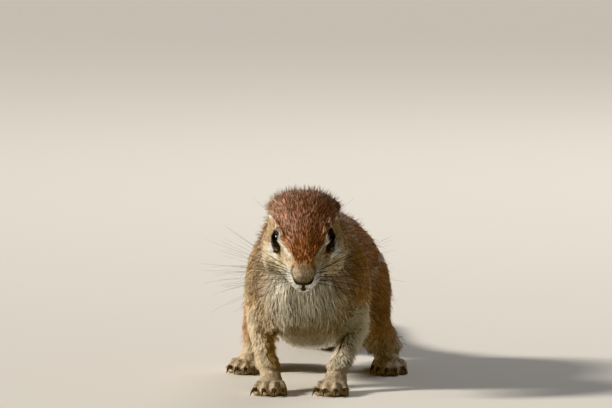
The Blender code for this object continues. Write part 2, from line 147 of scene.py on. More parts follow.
studio_lamp("key", "SUN", (-1400, -560, 820), 4.1, (1.0, 0.94, 0.84)).angle = math.radians(12.0)
studio_lamp("fill", "AREA", (1300, -1300, 700), 0.4, (0.9, 0.95, 1.0)).size = 1200 * MM
studio_lamp("back", "AREA", (500, 1500, 1500), 12.0, (1.0, 0.98, 0.95)).size = 1000 * MM
room = bpy.data.worlds.new("room")
room.use_nodes = True
room.node_tree.nodes["Background"].inputs["Color"].default_value = (0.84, 0.86, 0.90, 1.0)
room.node_tree.nodes["Background"].inputs["Strength"].default_value = ROOM_LIGHT
bpy.context.scene.world = room
bpy.context.scene.view_settings.view_transform = "Khronos PBR Neutral"

# --- Skin -------------------------------------------------------------------------------------------------
# The skin is one tanned hide over the mannequin, from the nose to the tail, with no seam.  It lies under the
# solids' surface by the depth of the coat, and the tail's hide is a thin tube inside its brush.

FLESH = {
    "head": ("head", "nose"),
    "body": ("neck", "trunk"),
    "foreleg": ("foreleg_left", "foreleg_right"),
    "hindleg": ("hindleg_left", "hindleg_right"),
    "forepaw": ("forepaw_left", "forepaw_right"),
    "hindfoot": ("hindfoot_left", "hindfoot_right"),
    "tail": ("tail_root", "tail_middle", "tail_tip"),
}
PARTS = list(FLESH)
CLOSING = 0.45
SKIN_VOXEL = 1.15
TAIL_SLICES = 26
SLICE_OVERLAP = 3.0
TAIL_CORE = (5.5, 1.6)
TAIL_START = 12.0
SHIN_FOLD = np.array([(29.5, -58.0, 12.0), (29.5, -64.0, 10.5), (29.5, -69.0, 8.5), (29.5, -73.0, 6.0)])
SHIN_FOLD_RADII = np.array([5.5, 5.2, 4.6, 3.2])
SMOOTHING_ROUNDS = 40
TAIL_ROUNDS = 6
JOIN_ROUNDS = 6
FINE_JOIN_ROUNDS = 8
DEPTH_ROUNDS = 6
SMOOTHING = {
    "head": 0.40,
    "body": 0.60,
    "foreleg": 0.45,
    "hindleg": 0.55,
    "forepaw": 0.12,
    "hindfoot": 0.12,
    "tail": 0.40,
}


def mesh_arrays(mesh):
    """A mesh's points in mm and its triangles."""
    points = np.empty(3 * len(mesh.vertices), np.float32)
    mesh.vertices.foreach_get("co", points)
    mesh.calc_loop_triangles()
    triangles = np.empty(3 * len(mesh.loop_triangles), np.int32)
    mesh.loop_triangles.foreach_get("vertices", triangles)
    return points.reshape(-1, 3).astype(float) / MM, triangles.reshape(-1, 3)


def point_normals(points, triangles):
    """Each point's normal: the sum of its triangles' cross products, made unit length."""
    crosses = np.cross(
        points[triangles[:, 1]] - points[triangles[:, 0]],
        points[triangles[:, 2]] - points[triangles[:, 0]],
    )
    total = np.stack(
        [
            np.bincount(triangles.ravel(), np.repeat(crosses[:, k], 3), len(points))
            for k in range(3)
        ],
        axis=1,
    )
    return unit(total)


def unit(vectors):
    """The vectors at length one."""
    return vectors / np.maximum(np.linalg.norm(vectors, axis=-1, keepdims=True), 1e-9)


def merged_solid(node):
    """A copy of a CAD node's mesh with its loose corners merged: points in mm and triangles."""
    form = bmesh.new()
    form.from_mesh(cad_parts[node].data)
    bmesh.ops.remove_doubles(form, verts=form.verts, dist=1e-6)
    mesh = bpy.data.meshes.new(node)
    form.to_mesh(mesh)
    form.free()
    points, triangles = mesh_arrays(mesh)
    bpy.data.meshes.remove(mesh)
    return points, triangles


def tube(path, radii, around=16):
    """A closed tube: a circle of each radius carried along the path, with a point at both ends."""
    along = unit(np.gradient(path, axis=0))
    side = unit(np.cross(along, (0.0, 0.0, 1.0)))
    upward = np.cross(side, along)
    turn = np.linspace(0, 2 * math.pi, around, endpoint=False)
    ring = side[:, None] * np.cos(turn)[None, :, None] + upward[:, None] * np.sin(turn)[None, :, None]
    wall = (path[:, None] + ring * np.asarray(radii)[:, None, None]).reshape(-1, 3)
    points = np.vstack([wall, path[:1], path[-1:]])
    start = np.arange(len(path) - 1)[:, None] * around
    here = np.arange(around)[None, :]
    after = (here + 1) % around
    low, low_after, high, high_after = (
        x.ravel()
        for x in (start + here, start + after, start + around + here, start + around + after)
    )
    sides = np.vstack(
        [np.stack([low, high, low_after], 1), np.stack([low_after, high, high_after], 1)]
    )
    first, last, last_ring = len(wall), len(wall) + 1, start[-1] + around
    ends = np.vstack(
        [
            np.stack([np.full(around, first), here[0], after[0]], 1),
            np.stack([np.full(around, last), after[0] + last_ring, here[0] + last_ring], 1),
        ]
    )
    return points, np.vstack([sides, ends])


def joined(forms):
    """Several forms as one: each form's point numbers start after the ones before it."""
    starts = np.cumsum([0] + [len(points) for points, _ in forms[:-1]])
    return (
        np.vstack([points for points, _ in forms]),
        np.vstack([triangles + start for (_, triangles), start in zip(forms, starts)]),
    )


# The tail's centre line and half sizes are read from slices across its solids.
tail_points = np.vstack([merged_solid(node)[0] for node in FLESH["tail"]])
slice_edges = np.linspace(tail_points[:, 1].min(), tail_points[:, 1].max(), TAIL_SLICES + 1)
tail_back = tail_points[:, 1]
slices = [
    tail_points[(tail_back >= low - SLICE_OVERLAP) & (tail_back <= high + SLICE_OVERLAP)]
    for low, high in zip(slice_edges[:-1], slice_edges[1:])
]
tail_line = np.array([(s.min(0) + s.max(0)) / 2 for s in slices])
tail_half = np.array([(s.max(0) - s.min(0)) / 2 for s in slices])[:, [0, 2]]
tail_line[:, 1] = (slice_edges[:-1] + slice_edges[1:]) / 2
for _ in range(TAIL_ROUNDS):
    tail_line[1:-1] = (tail_line[:-2] + 2 * tail_line[1:-1] + tail_line[2:]) / 4
    tail_half[1:-1] = (tail_half[:-2] + 2 * tail_half[1:-1] + tail_half[2:]) / 4
core_radii = np.linspace(*TAIL_CORE, TAIL_SLICES)
core_line = tail_line.copy()
core_line[0, 1] -= TAIL_START

# The mannequin's forms: the solids, each a little swollen so that it meets the next, and the tail's core.
forms, form_parts = [], []
for part in PARTS[:-1]:
    for node in FLESH[part]:
        points, triangles = merged_solid(node)
        forms.append((points + CLOSING * point_normals(points, triangles), triangles))
        form_parts.append(part)
forms.append(tube(core_line[:-1], core_radii[:-1]))
form_parts.append("tail")

# A fold of skin runs from each shin down to the top of the hind foot.
for side in (-1.0, 1.0):
    forms.append(tube(SHIN_FOLD * (side, 1.0, 1.0), SHIN_FOLD_RADII))
    form_parts.append("hindleg")

skin_mesh = triangle_mesh("skin", *joined(forms))
part_numbers = np.repeat([float(PARTS.index(p)) for p in form_parts], [len(p) for p, _ in forms])
skin_mesh.attributes.new("part", "FLOAT", "POINT").data.foreach_set("value", part_numbers)
skin = linked("skin", skin_mesh)
skin_mesh.remesh_voxel_size = SKIN_VOXEL * MM
skin_mesh.use_remesh_preserve_attributes = True
bpy.context.view_layer.objects.active = skin
bpy.ops.object.select_all(action="DESELECT")
skin.select_set(True)
bpy.ops.object.voxel_remesh()
skin_mesh = skin.data


def face_place(points):
    """Points as (left, back, up) in mm from the nose's middle, along the head's own axes."""
    return (np.asarray(points) - nose_middle) @ HEAD_AXES.T


def body_place(face_points):
    """The reverse of face_place."""
    return np.asarray(face_points) @ HEAD_AXES + nose_middle


def beside_middle(points):
    """Points' places on the head with both sides folded onto the left."""
    place = face_place(points)
    return np.stack([np.abs(place[:, 0]), place[:, 1], place[:, 2]], axis=1)


# The head's axes come from its eyes and nose: the eyes lie EYE_PLACE from the nose's middle.
EYE_PLACE = np.array([9.2, 25.2, 5.4])
eye_left, eye_right = box_middle("eye_left"), box_middle("eye_right")
eye_rise = math.atan2(EYE_PLACE[2], EYE_PLACE[1])
leftward = unit(eye_left - eye_right)
to_eyes = unit((eye_left + eye_right) / 2 - nose_middle)
over_eyes = np.cross(leftward, to_eyes)
HEAD_AXES = np.array(
    [
        leftward,
        math.cos(eye_rise) * to_eyes - math.sin(eye_rise) * over_eyes,
        math.sin(eye_rise) * to_eyes + math.cos(eye_rise) * over_eyes,
    ]
)


def smoothstep(low, high, value):
    """0 below low, 1 above high, and a smooth S between."""
    t = np.clip((value - low) / (high - low), 0.0, 1.0)
    return t * t * (3.0 - 2.0 * t)


def refine(mesh, chosen):
    """Halves the edges whose two ends are chosen."""
    form = bmesh.new()
    form.from_mesh(mesh)
    edges = [e for e in form.edges if chosen[e.verts[0].index] and chosen[e.verts[1].index]]
    bmesh.ops.subdivide_edges(form, edges=edges, cuts=1, use_grid_fill=True)
    form.to_mesh(mesh)
    form.free()


def mesh_edges(mesh):
    """A mesh's edges, as pairs of point numbers."""
    edges = np.empty(2 * len(mesh.edges), np.int32)
    mesh.edges.foreach_get("vertices", edges)
    return edges.reshape(-1, 2)


def neighbour_mean(values, edges):
    """The mean of each point's neighbours along the edges, for a table of values."""
    count = len(values)
    number = np.bincount(edges.ravel(), minlength=count)[:, None]
    total = np.stack(
        [
            np.bincount(edges[:, 0], column[edges[:, 1]], count)
            + np.bincount(edges[:, 1], column[edges[:, 0]], count)
            for column in values.T
        ],
        axis=1,
    )
    return total / np.maximum(number, 1)


def relaxed(points, edges, strength, rounds):
    """Each round moves a point towards its neighbours' mean and a little further back, so nothing shrinks."""
    for _ in range(rounds):
        points = points + strength * (neighbour_mean(points, edges) - points)
        points = points - 1.03 * strength * (neighbour_mean(points, edges) - points)
    return points


def part_shares(mesh, rounds):
    """Each point's share of every part of the body, blended across the joins."""
    index = np.empty(len(mesh.vertices), np.float32)
    mesh.attributes["part"].data.foreach_get("value", index)
    shares = np.eye(len(PARTS))[np.clip(np.rint(index), 0, len(PARTS) - 1).astype(int)]
    edges = mesh_edges(mesh)
    for _ in range(rounds):
        shares = 0.5 * shares + 0.5 * neighbour_mean(shares, edges)
    return shares


def share(shares, part):
    """One part's column."""
    return shares[:, PARTS.index(part)]


points, triangles = mesh_arrays(skin_mesh)
shares = part_shares(skin_mesh, JOIN_ROUNDS)
strength = (shares @ np.array([SMOOTHING[p] for p in PARTS]))[:, None]
points = relaxed(points, mesh_edges(skin_mesh), strength, SMOOTHING_ROUNDS)
skin_mesh.vertices.foreach_set("co", (points * MM).astype(np.float32).ravel())

# The mesh is finer on the face, and finer again round the eyes and on the muzzle.
FACE_BACK = 40.0
EYE_NEAR = 9.5
MUZZLE_BACK = 9.0
place = face_place(points)
refine(skin_mesh, (place[:, 1] < FACE_BACK) & (share(shares, "head") > 0.5))
points, triangles = mesh_arrays(skin_mesh)
place = beside_middle(points)
near_eye = np.linalg.norm(place - EYE_PLACE, axis=1) < EYE_NEAR
shares = part_shares(skin_mesh, JOIN_ROUNDS)
refine(skin_mesh, (near_eye | (place[:, 1] < MUZZLE_BACK)) & (share(shares, "head") > 0.5))
points, triangles = mesh_arrays(skin_mesh)
edges = mesh_edges(skin_mesh)
shares = part_shares(skin_mesh, FINE_JOIN_ROUNDS)
on_head = share(shares, "head")[:, None]
points = relaxed(points, edges, 0.5 * on_head, 4)

# Where the coat changes: each zone's share of the skin, from its part of the body and its place on it.  An
# edge between zones is a pair: where the change starts and where it is complete.  The cap's outline is given
# as places back from the nose and its half width there.
ZONES = ("muzzle", "face", "crown", "neck", "chest", "back", "belly", *PARTS[2:])
CROWN_EDGE = np.array(
    [(2.6, 0.0), (3.4, 2.6), (8.7, 4.7), (15.0, 7.0), (19.0, 9.2), (27.0, 11.4), (38.0, 12.3), (60.0, 14.7)]
)
CROWN_FRONT, CROWN_LOW = (2.2, 4.2), (-1.0, 2.0)
CROWN_SOFT = 0.7
MUZZLE_EDGE = (15.0, 9.0)
CHEST_BACK, CHEST_SIDE = (-116.0, -136.0), (19.5, 9.5)
NECK_EDGE = (-125.0, -150.0)
BELLY_FACING = (-0.25, -0.7)


def crown_share(place):
    """1 on the cap of the head, between the brow stripes; 0 outside it."""
    edge = np.interp(place[:, 1], *CROWN_EDGE.T)
    inside = smoothstep(CROWN_SOFT, -CROWN_SOFT, np.abs(place[:, 0]) - edge)
    return inside * smoothstep(*CROWN_FRONT, place[:, 1]) * smoothstep(*CROWN_LOW, place[:, 2])


def zone_shares(points, normals, shares):
    """A table with a column for each zone; every row adds up to one."""
    place = face_place(points)
    head, body = share(shares, "head"), share(shares, "body")
    crown = head * crown_share(place)
    muzzle = (head - crown) * smoothstep(*MUZZLE_EDGE, place[:, 1])
    far_front = smoothstep(*CHEST_BACK, points[:, 1])
    facing_front = smoothstep(0.15, -0.45, normals[:, 1] + 0.9 * normals[:, 2])
    between_legs = smoothstep(*CHEST_SIDE, np.abs(points[:, 0]))
    chest = body * far_front * facing_front * between_legs
    neck = (body - chest) * smoothstep(*NECK_EDGE, points[:, 1])
    belly = (body - chest - neck) * smoothstep(*BELLY_FACING, normals[:, 2])
    table = [muzzle, head - muzzle - crown, crown, neck, chest, body - chest - neck - belly, belly]
    table += [share(shares, p) for p in PARTS[2:]]
    return np.stack(table, axis=1)


# How deep the skin lies under the solids' surface in each zone.
COAT_DEPTH = {
    "muzzle": 0.5,
    "face": 0.9,
    "crown": 1.5,
    "neck": 2.2,
    "chest": 2.8,
    "back": 2.6,
    "belly": 2.0,
    "foreleg": 1.2,
    "hindleg": 1.7,
    "forepaw": 0.35,
    "hindfoot": 0.45,
    "tail": 0.0,
}


def zone_value(table, zones, column=0):
    """A value of each zone, or of a column of its row, mixed by the zones' shares."""
    return zones @ np.array([np.atleast_1d(table[z])[column] for z in ZONES])


normals = point_normals(points, triangles)
depth = CLOSING + zone_value(COAT_DEPTH, zone_shares(points, normals, shares))
on_sole = smoothstep(2.5, 1.0, points[:, 2]) * smoothstep(-0.3, -0.8, normals[:, 2])
depth = depth * (1 - on_sole)
for _ in range(DEPTH_ROUNDS):
    depth = 0.5 * depth + 0.5 * neighbour_mean(depth[:, None], edges)[:, 0]
points = points - depth[:, None] * normals
off_paws = 1 - share(shares, "forepaw") - share(shares, "hindfoot")
points = relaxed(points, edges, 0.4 * off_paws[:, None], 6)
points[:, 2] = np.maximum(points[:, 2], 0.0)

# Lids: the skin dips behind the eye's ball inside the lids' opening and stands just over the ball outside it.
EYE_RADIUS = 4.95
EYE_AXIS = unit(np.array([0.885, -0.415, 0.19]))
EYE_CORNER = unit(np.array([0.20, -0.97, -0.15]))
OPENING_LONG = math.radians(57.0)
OPENING_SHORT = math.radians(43.0)
CORNER_PINCH = 0.45
LID_STAND = 0.40
LID_FADE = (0.95, 1.9)
SOCKET_DEPTH = 1.1
SOCKET_EDGE = (0.88, 1.0)
SOCKET_FADE = (10.5, 8.5)

corner_axis = unit(EYE_CORNER - (EYE_CORNER @ EYE_AXIS) * EYE_AXIS)
lid_axis = np.cross(corner_axis, EYE_AXIS)
lid_axis = lid_axis * np.sign(lid_axis[2])


def opening_reach(away):
    """How far a direction from the eye's middle lies from the opening's middle: 1 on the lids' edge."""
    across, along, upward = away @ EYE_AXIS, away @ corner_axis, away @ lid_axis
    long_turn = np.arctan2(along, across) / OPENING_LONG
    short_turn = np.arctan2(upward, across) / OPENING_SHORT
    pinch = 1.0 - CORNER_PINCH * np.clip(long_turn, 0.0, 1.0) ** 2
    return np.sqrt(long_turn**2 + (short_turn / pinch) ** 2)


def lidded(points):
    """Points moved along lines from the eyes' middles to make the sockets and the lids."""
    side = np.where(face_place(points)[:, 0] < 0, -1.0, 1.0)
    away = beside_middle(points) - EYE_PLACE
    far = np.linalg.norm(away, axis=1)
    reach = opening_reach(away / far[:, None])
    lid = np.maximum(far, EYE_RADIUS + LID_STAND)
    lid = EYE_RADIUS + LID_STAND + (lid - EYE_RADIUS - LID_STAND) * smoothstep(*LID_FADE, reach)
    socket = EYE_RADIUS - SOCKET_DEPTH
    goal = socket + (lid - socket) * smoothstep(*SOCKET_EDGE, reach)
    near = smoothstep(*SOCKET_FADE, far)
    moved = EYE_PLACE + away / far[:, None] * (far + near * (goal - far))[:, None]
    return body_place(np.stack([side * moved[:, 0], moved[:, 1], moved[:, 2]], axis=1))


# The hide is drawn in where the mannequin is fuller than the animal: at the temples and round the forelegs.
TEMPLE_HOLLOW = 2.1
FORELEG_SLIM = 1.3
FORELEG_TOP, FORELEG_WRIST = (48.0, 30.0), (7.0, 19.0)


def hollowed(points):
    """Points of the head's sides moved in towards its middle plane: the temples are flat behind the eyes."""
    place = face_place(points)
    back, up = place[:, 1], place[:, 2]
    amount = smoothstep(26.0, 34.0, back) * smoothstep(70.0, 56.0, back)
    amount = amount * smoothstep(7.0, 13.0, np.abs(place[:, 0]))
    amount = amount * smoothstep(-16.0, -6.0, up) * smoothstep(17.0, 11.0, up)
    place[:, 0] -= np.sign(place[:, 0]) * TEMPLE_HOLLOW * amount
    return body_place(place)


points = hollowed(points)
slim = share(shares, "foreleg") + share(shares, "forepaw")
slim = slim * smoothstep(*FORELEG_TOP, points[:, 2]) * smoothstep(*FORELEG_WRIST, points[:, 2])
points = points - FORELEG_SLIM * slim[:, None] * point_normals(points, triangles)
points = np.where(on_head > 0.5, lidded(points), points)

# The mouth is a parting from under the nose down to the lips' middle, and a groove back along both lips.  The
# nose's wings are grooves at the sides of its dome, and its rim is the line of its bare leather.
MOUTH_LINE = [(0.0, -0.8, -1.8), (0.0, -0.2, -3.0), (0.0, 0.6, -4.4), (0.0, 1.5, -5.8), (0.0, 3.0, -6.8)]
LIP_LINE = [(0.0, -0.5, -2.2), (0.0, 0.8, -4.8), (2.6, 2.0, -5.9), (5.4, 5.0, -6.8), (7.4, 10.0, -7.4)]
WING_LINE = [(4.8, 0.9, 0.7), (4.8, 2.2, 2.6), (3.9, 3.1, 4.6)]
NOSE_RIM = [(0.0, -2.2, -1.2), (2.7, -1.75, -1.05), (4.7, 0.0, 0.3)]
MOUTH_DEPTH, MOUTH_HALF, MOUTH_FLARE = 0.7, 0.50, 0.28
MOUTH_END = (5.0, 8.0)
LIP_DEPTH, LIP_WIDTH = 0.85, 0.50
WING_DEPTH, WING_WIDTH = 0.45, 0.6


def line_distance(points, line):
    """Each point's distance from a chain of straight lengths."""
    nearest = np.full(len(points), 1e9)
    for start, end in zip(line[:-1], line[1:]):
        length = end - start
        along = np.clip((points - start) @ length / (length @ length), 0.0, 1.0)
        nearest = np.minimum(nearest, np.linalg.norm(points - start - along[:, None] * length, axis=1))
    return nearest


def on_skin(line):
    """A line's points moved to the head's skin: each takes its nearest skin point's place back and up."""
    line = np.array(line)
    near = beside_middle(points[on_head[:, 0] > 0.5])
    snapped = near[np.argmin(np.linalg.norm(near[None] - line[:, None], axis=2), axis=1)]
    snapped[:, 0] = line[:, 0]
    return snapped


def mouth_reach(place):
    """How far a place on the head is from the parting of the lips, seen from in front, and 1 at its edge."""
    half_width = MOUTH_HALF + MOUTH_FLARE * smoothstep(-3.0, -5.2, place[:, 2])
    seen = (1.0, 0.0, 1.0)
    return line_distance(place * seen, mouth_line * seen) / half_width + smoothstep(*MOUTH_END, place[:, 1])


mouth_line, lip_line, wing_line, nose_rim = map(on_skin, (MOUTH_LINE, LIP_LINE, WING_LINE, NOSE_RIM))
normals = point_normals(points, triangles)
place = beside_middle(points)
lip = np.exp(-((line_distance(place, lip_line) / LIP_WIDTH) ** 2))
mouth = np.exp(-(mouth_reach(place) ** 2))
wing = np.exp(-((line_distance(place, wing_line) / WING_WIDTH) ** 2))
carved = LIP_DEPTH * lip + MOUTH_DEPTH * mouth + WING_DEPTH * wing
points = points - (carved * on_head[:, 0])[:, None] * normals
normals = point_normals(points, triangles)
skin_mesh.vertices.foreach_set("co", (points * MM).astype(np.float32).ravel())
skin_mesh.update()
skin_mesh.shade_smooth()

# --- Markings ---------------------------------------------------------------------------------------------
# A Cape ground squirrel is cinnamon above and white below, with a white stripe along each flank, a russet
# cap, white over and under its eyes and dark rims to its lids.  Skin and tufts are dyed by the same
# functions, so the markings go through the coat to its roots.  The dyes also hold painted shade and light:
# under the nose and in its grooves, in the mouth, on one brow, on the lower chest, on both forelegs and the
# left shoulder.

RUSSET = (0.44, 0.205, 0.135)
FLAME = (0.42, 0.135, 0.035)
CINNAMON = (0.46, 0.235, 0.118)
TAN = (0.53, 0.35, 0.185)
NAPE_BROWN = (0.45, 0.30, 0.165)
CAP_REAR = (0.50, 0.37, 0.23)
DUN = (0.44, 0.37, 0.26)
# Painted shade for the lower chest.
CHEST_PAINTED_SHADE = (0.30, 0.235, 0.15)
# Painted shade for the right foreleg's inner side.
FORELEG_PAINTED_SHADE = (0.26, 0.22, 0.16)
BUFF = (0.56, 0.44, 0.28)
CREAM = (0.74, 0.63, 0.45)
WHITE = (0.84, 0.80, 0.71)
PAW = (0.72, 0.58, 0.41)
GREY = (0.58, 0.54, 0.44)
DARK = (0.045, 0.030, 0.020)
UMBER = (0.14, 0.09, 0.055)
ZONE_DYES = (BUFF, BUFF, RUSSET, CINNAMON, GREY, CINNAMON, WHITE, TAN, CINNAMON, PAW, PAW, WHITE)
BROW_LINE = np.array(
    [
        (5.6, 8.9, 6.0),
        (7.6, 14.8, 6.3),
        (9.9, 18.1, 8.7),
        (12.0, 25.6, 10.0),
        (12.9, 36.6, 7.8),
        (13.9, 42.0, 5.4),
    ]
)
TEAR_LINE = np.array([(11.4, 22.6, 1.8), (10.6, 20.2, 3.2), (9.3, 16.8, 2.6)])
WHISKER_PAD, PAD_SIZE = (6.4, 4.5, -0.8), (2.8, 6.0, 4.2)
UNDER_EYE, UNDER_EYE_SIZE = (12.6, 25.5, -1.8), (3.4, 5.6, 2.5)
NOSE_DOME = np.array([4.7, 3.6, 3.3])
LID_RING, LID_RING_SOFT = 1.24, 0.14
STRIPE_FRONT, STRIPE_BACK = -80.0, -22.0
STRIPE_LOW, STRIPE_HIGH = 48.0, 53.0
STRIPE_WIDTH = 1.7


def mixed(base, colour, amount):
    """A table of colours moved towards one colour by each point's amount."""
    return base + amount[:, None] * (np.asarray(colour) - base)


def ripple(points, scale, seed):
    """Smooth noise from -1 to 1: four sine waves in fixed directions, each bent by the one before."""
    waves = np.random.default_rng(seed).normal(size=(4, 3)) / scale
    value = np.zeros(len(points))
    for k, wave in enumerate(waves):
        value = np.sin(points @ wave * 2.2 + 1.7 * value + k)
    return value


def spot(place, middle, size, power):
    """1 in the middle of an egg of the given half sizes: exp of minus the reach raised to a power."""
    return np.exp(-(np.linalg.norm((place - middle) / size, axis=1) ** power))


def face_dyes(colour, points, column):
    """The head's markings and its painted shade, laid over its colours one after another."""
    place = beside_middle(points)
    back, up = place[:, 1], place[:, 2]
    on_left = face_place(points)[:, 0] > 0
    face = column["face"] + column["muzzle"]

    # The cheeks pale downwards to a white throat, white lips and white whisker pads.
    low_on_face = smoothstep(2.0, -7.0, up + 0.12 * (back - 20))
    colour = mixed(colour, CREAM, face * 0.65 * low_on_face)
    colour = mixed(colour, WHITE, face * smoothstep(-9.0, -13.0, up + 0.1 * back))
    lips = smoothstep(-1.0, -3.5, up - 0.15 * back) * smoothstep(16.0, 9.0, back)
    colour = mixed(colour, WHITE, face * lips)
    colour = mixed(colour, WHITE, 0.9 * face * spot(place, WHISKER_PAD, PAD_SIZE, 2))

    # Behind the eyes the face darkens to the neck's cinnamon.
    nape = smoothstep(24.0, 46.0, back + 0.5 * up)
    colour = mixed(colour, NAPE_BROWN, 0.8 * face * nape)
    nape = nape * smoothstep(-9.0, 2.0, up) * smoothstep(38.0, 54.0, back)
    colour = mixed(colour, CINNAMON, 0.6 * face * nape)

    # A white patch under each eye and a white line over it, a dark streak at its front corner, and dark lids.
    colour = mixed(colour, WHITE, face * spot(place, UNDER_EYE, UNDER_EYE_SIZE, 4))
    brow = smoothstep(1.25, 0.5, line_distance(place, BROW_LINE)) * (0.6 + 0.4 * smoothstep(11.0, 19.0, back))
    # The left brow line is painted a fifth dimmer: painted shade on the head's left side.
    brow = brow * (1 - 0.2 * on_left)
    colour = mixed(colour, WHITE, (face + 0.8 * column["crown"]) * brow)
    tear = smoothstep(1.5, 0.8, line_distance(place, TEAR_LINE))
    colour = mixed(colour, DARK, 0.9 * face * tear)
    away = place - EYE_PLACE
    far = np.linalg.norm(away, axis=1)
    ring_edge = LID_RING + 0.22 * on_left
    ring = smoothstep(ring_edge, ring_edge - LID_RING_SOFT, opening_reach(away / far[:, None]))
    ring = ring * smoothstep(8.5, 7.5, far)
    colour = mixed(colour, DARK, ring * (face + column["crown"]))

    # The nose's dome is dun and warmer along its bridge.  Its underside is painted dark, as shade, and the
    # grooves of its wings are painted umber, as shade in them.
    dome = smoothstep(1.15, 0.95, np.linalg.norm(place / NOSE_DOME, axis=1))
    bridge = smoothstep(3.2, 5.0, up) * smoothstep(9.0, 5.0, back)
    colour = mixed(colour, CINNAMON, 0.45 * column["muzzle"] * bridge)
    colour = mixed(colour, 1.15 * np.array(DUN), 0.9 * column["muzzle"] * dome * (1 - 0.7 * bridge))
    dome_painted_shade = smoothstep(3.0, -1.2, up)
    colour = mixed(colour, 0.32 * np.array(DUN), 0.88 * column["muzzle"] * dome * dome_painted_shade)
    under_nose = smoothstep(-1.1, -1.9, up - 0.32 * place[:, 0]) * smoothstep(8.0, 5.0, back)
    colour = mixed(colour, WHITE, column["muzzle"] * under_nose)
    wing = smoothstep(1.1, 0.2, line_distance(place, wing_line))
    colour = mixed(colour, UMBER, 0.75 * column["muzzle"] * wing)

    # The parting under the nose, and the lips' line as far as it shows from in front, are painted nearly black
    # as the shade in them.
    parting_painted_shade = smoothstep(1.6, 1.1, mouth_reach(place))
    lip = 0.8 * smoothstep(0.95, 0.35, line_distance(place, lip_line)) * smoothstep(4.2, 2.2, place[:, 0])
    colour = mixed(colour, DARK, 0.95 * column["muzzle"] * np.maximum(parting_painted_shade, lip))

    # The cap fades at its rear corners and burns brighter towards its point.
    rear = smoothstep(6.5, 12.5, place[:, 0]) * smoothstep(34.0, 50.0, back)
    colour = mixed(colour, CAP_REAR, 0.55 * column["crown"] * rear)
    point = smoothstep(24.0, 9.0, back)
    return mixed(colour, FLAME, 0.7 * column["crown"] * point * (1 - brow))


def collar_share(points, column):
    """1 on the dun ruff at the sides of the neck; 0 outside it."""
    height = points[:, 2]
    ruff = smoothstep(-126.0, -142.0, points[:, 1]) * smoothstep(74.0, 60.0, height)
    return ruff * (column["neck"] + column["back"] + column["foreleg"] * smoothstep(38.0, 48.0, height))


def body_dyes(colour, points, normals, column):
    """The body's and the legs' markings and their painted shade and light, laid over their colours one after
    another.
    """
    height = points[:, 2]

    # The flank's stripe rises and falls along the body, and is faint at its front end.
    body = column["neck"] + column["chest"] + column["back"] + column["belly"]
    along = (points[:, 1] - STRIPE_FRONT) / (STRIPE_BACK - STRIPE_FRONT)
    middle = STRIPE_LOW + (STRIPE_HIGH - STRIPE_LOW) * np.sin(np.clip(along, 0, 1) * math.pi)
    off_middle = np.abs(height - middle + 0.8 * ripple(points, 9.0, 3))
    stripe = smoothstep(STRIPE_WIDTH + 1.0, STRIPE_WIDTH - 1.0, off_middle)
    stripe = stripe * (0.3 * smoothstep(-0.5, -0.1, along) + 0.7 * smoothstep(-0.1, 0.75, along))
    stripe = stripe * smoothstep(1.06, 0.95, along)
    stripe = stripe * smoothstep(0.35, 0.6, np.abs(normals[:, 0]))
    below = smoothstep(middle - 2.0, middle - 7.0, height)
    colour = mixed(colour, BUFF, 0.3 * below * (column["back"] + column["hindleg"]))
    under = smoothstep(middle - 12.0, middle - 22.0, height) * body
    colour = mixed(colour, WHITE, 0.85 * under)
    colour = mixed(colour, WHITE, stripe * (body + 0.9 * column["hindleg"] + column["foreleg"]))

    # The throat and the ruff are dun, and the hind legs are white inside.  The right foreleg's inner side is
    # painted darker, as shade on it, and the chest is painted darker low down, as the shade under it.
    throat = smoothstep(0.3, -0.3, normals[:, 2]) * smoothstep(-118.0, -140.0, points[:, 1])
    colour = mixed(colour, DUN, 0.8 * throat * (column["neck"] + column["back"]))
    colour = mixed(colour, 0.85 * np.array(DUN), 0.6 * collar_share(points, column))
    inner = smoothstep(0.1, -0.5, normals[:, 0] * np.sign(points[:, 0]))
    colour = mixed(colour, WHITE, 0.7 * inner * column["hindleg"])
    # Painted shade: the right foreleg's inner side, which faces away from the key light, is painted darker.
    inner_painted_shade = inner * smoothstep(4.0, -4.0, points[:, 0]) * smoothstep(20.0, 34.0, height)
    colour = mixed(colour, FORELEG_PAINTED_SHADE, 0.6 * column["foreleg"] * inner_painted_shade)
    # Painted shade: the chest is painted darker low down, as the shade under it.
    colour = mixed(colour, CHEST_PAINTED_SHADE, 0.75 * column["chest"] * smoothstep(44.0, 31.0, height))

    # The legs pale downwards from their tan shoulders, the forelegs on their outer sides.  The left foreleg is
    # painted whiter low down, as light on it, and the left shoulder cinnamon, as shade on it.
    lower = smoothstep(46.0, 30.0, height + 3.0 * ripple(points, 6.0, 15))
    colour = mixed(colour, CREAM, 0.75 * column["foreleg"] * (1 - inner) * lower)
    # Painted light: the left foreleg's lower part is painted whiter, as light falling on it.
    left_foreleg_painted_light = smoothstep(8.0, 14.0, points[:, 0]) * smoothstep(42.0, 30.0, height)
    colour = mixed(colour, WHITE, 0.45 * column["foreleg"] * left_foreleg_painted_light)
    colour = mixed(colour, 0.8 * np.array(TAN), column["foreleg"] * smoothstep(46.0, 64.0, height))
    # Painted shade: the left shoulder, away from the key light, is painted cinnamon, darker than the tan one.
    left_shoulder_painted_shade = smoothstep(10.0, 18.0, points[:, 0]) * smoothstep(32.0, 44.0, height)
    colour = mixed(colour, CINNAMON, 0.5 * column["foreleg"] * left_shoulder_painted_shade)
    return mixed(colour, CREAM, 0.7 * column["hindleg"] * smoothstep(24.0, 12.0, height))


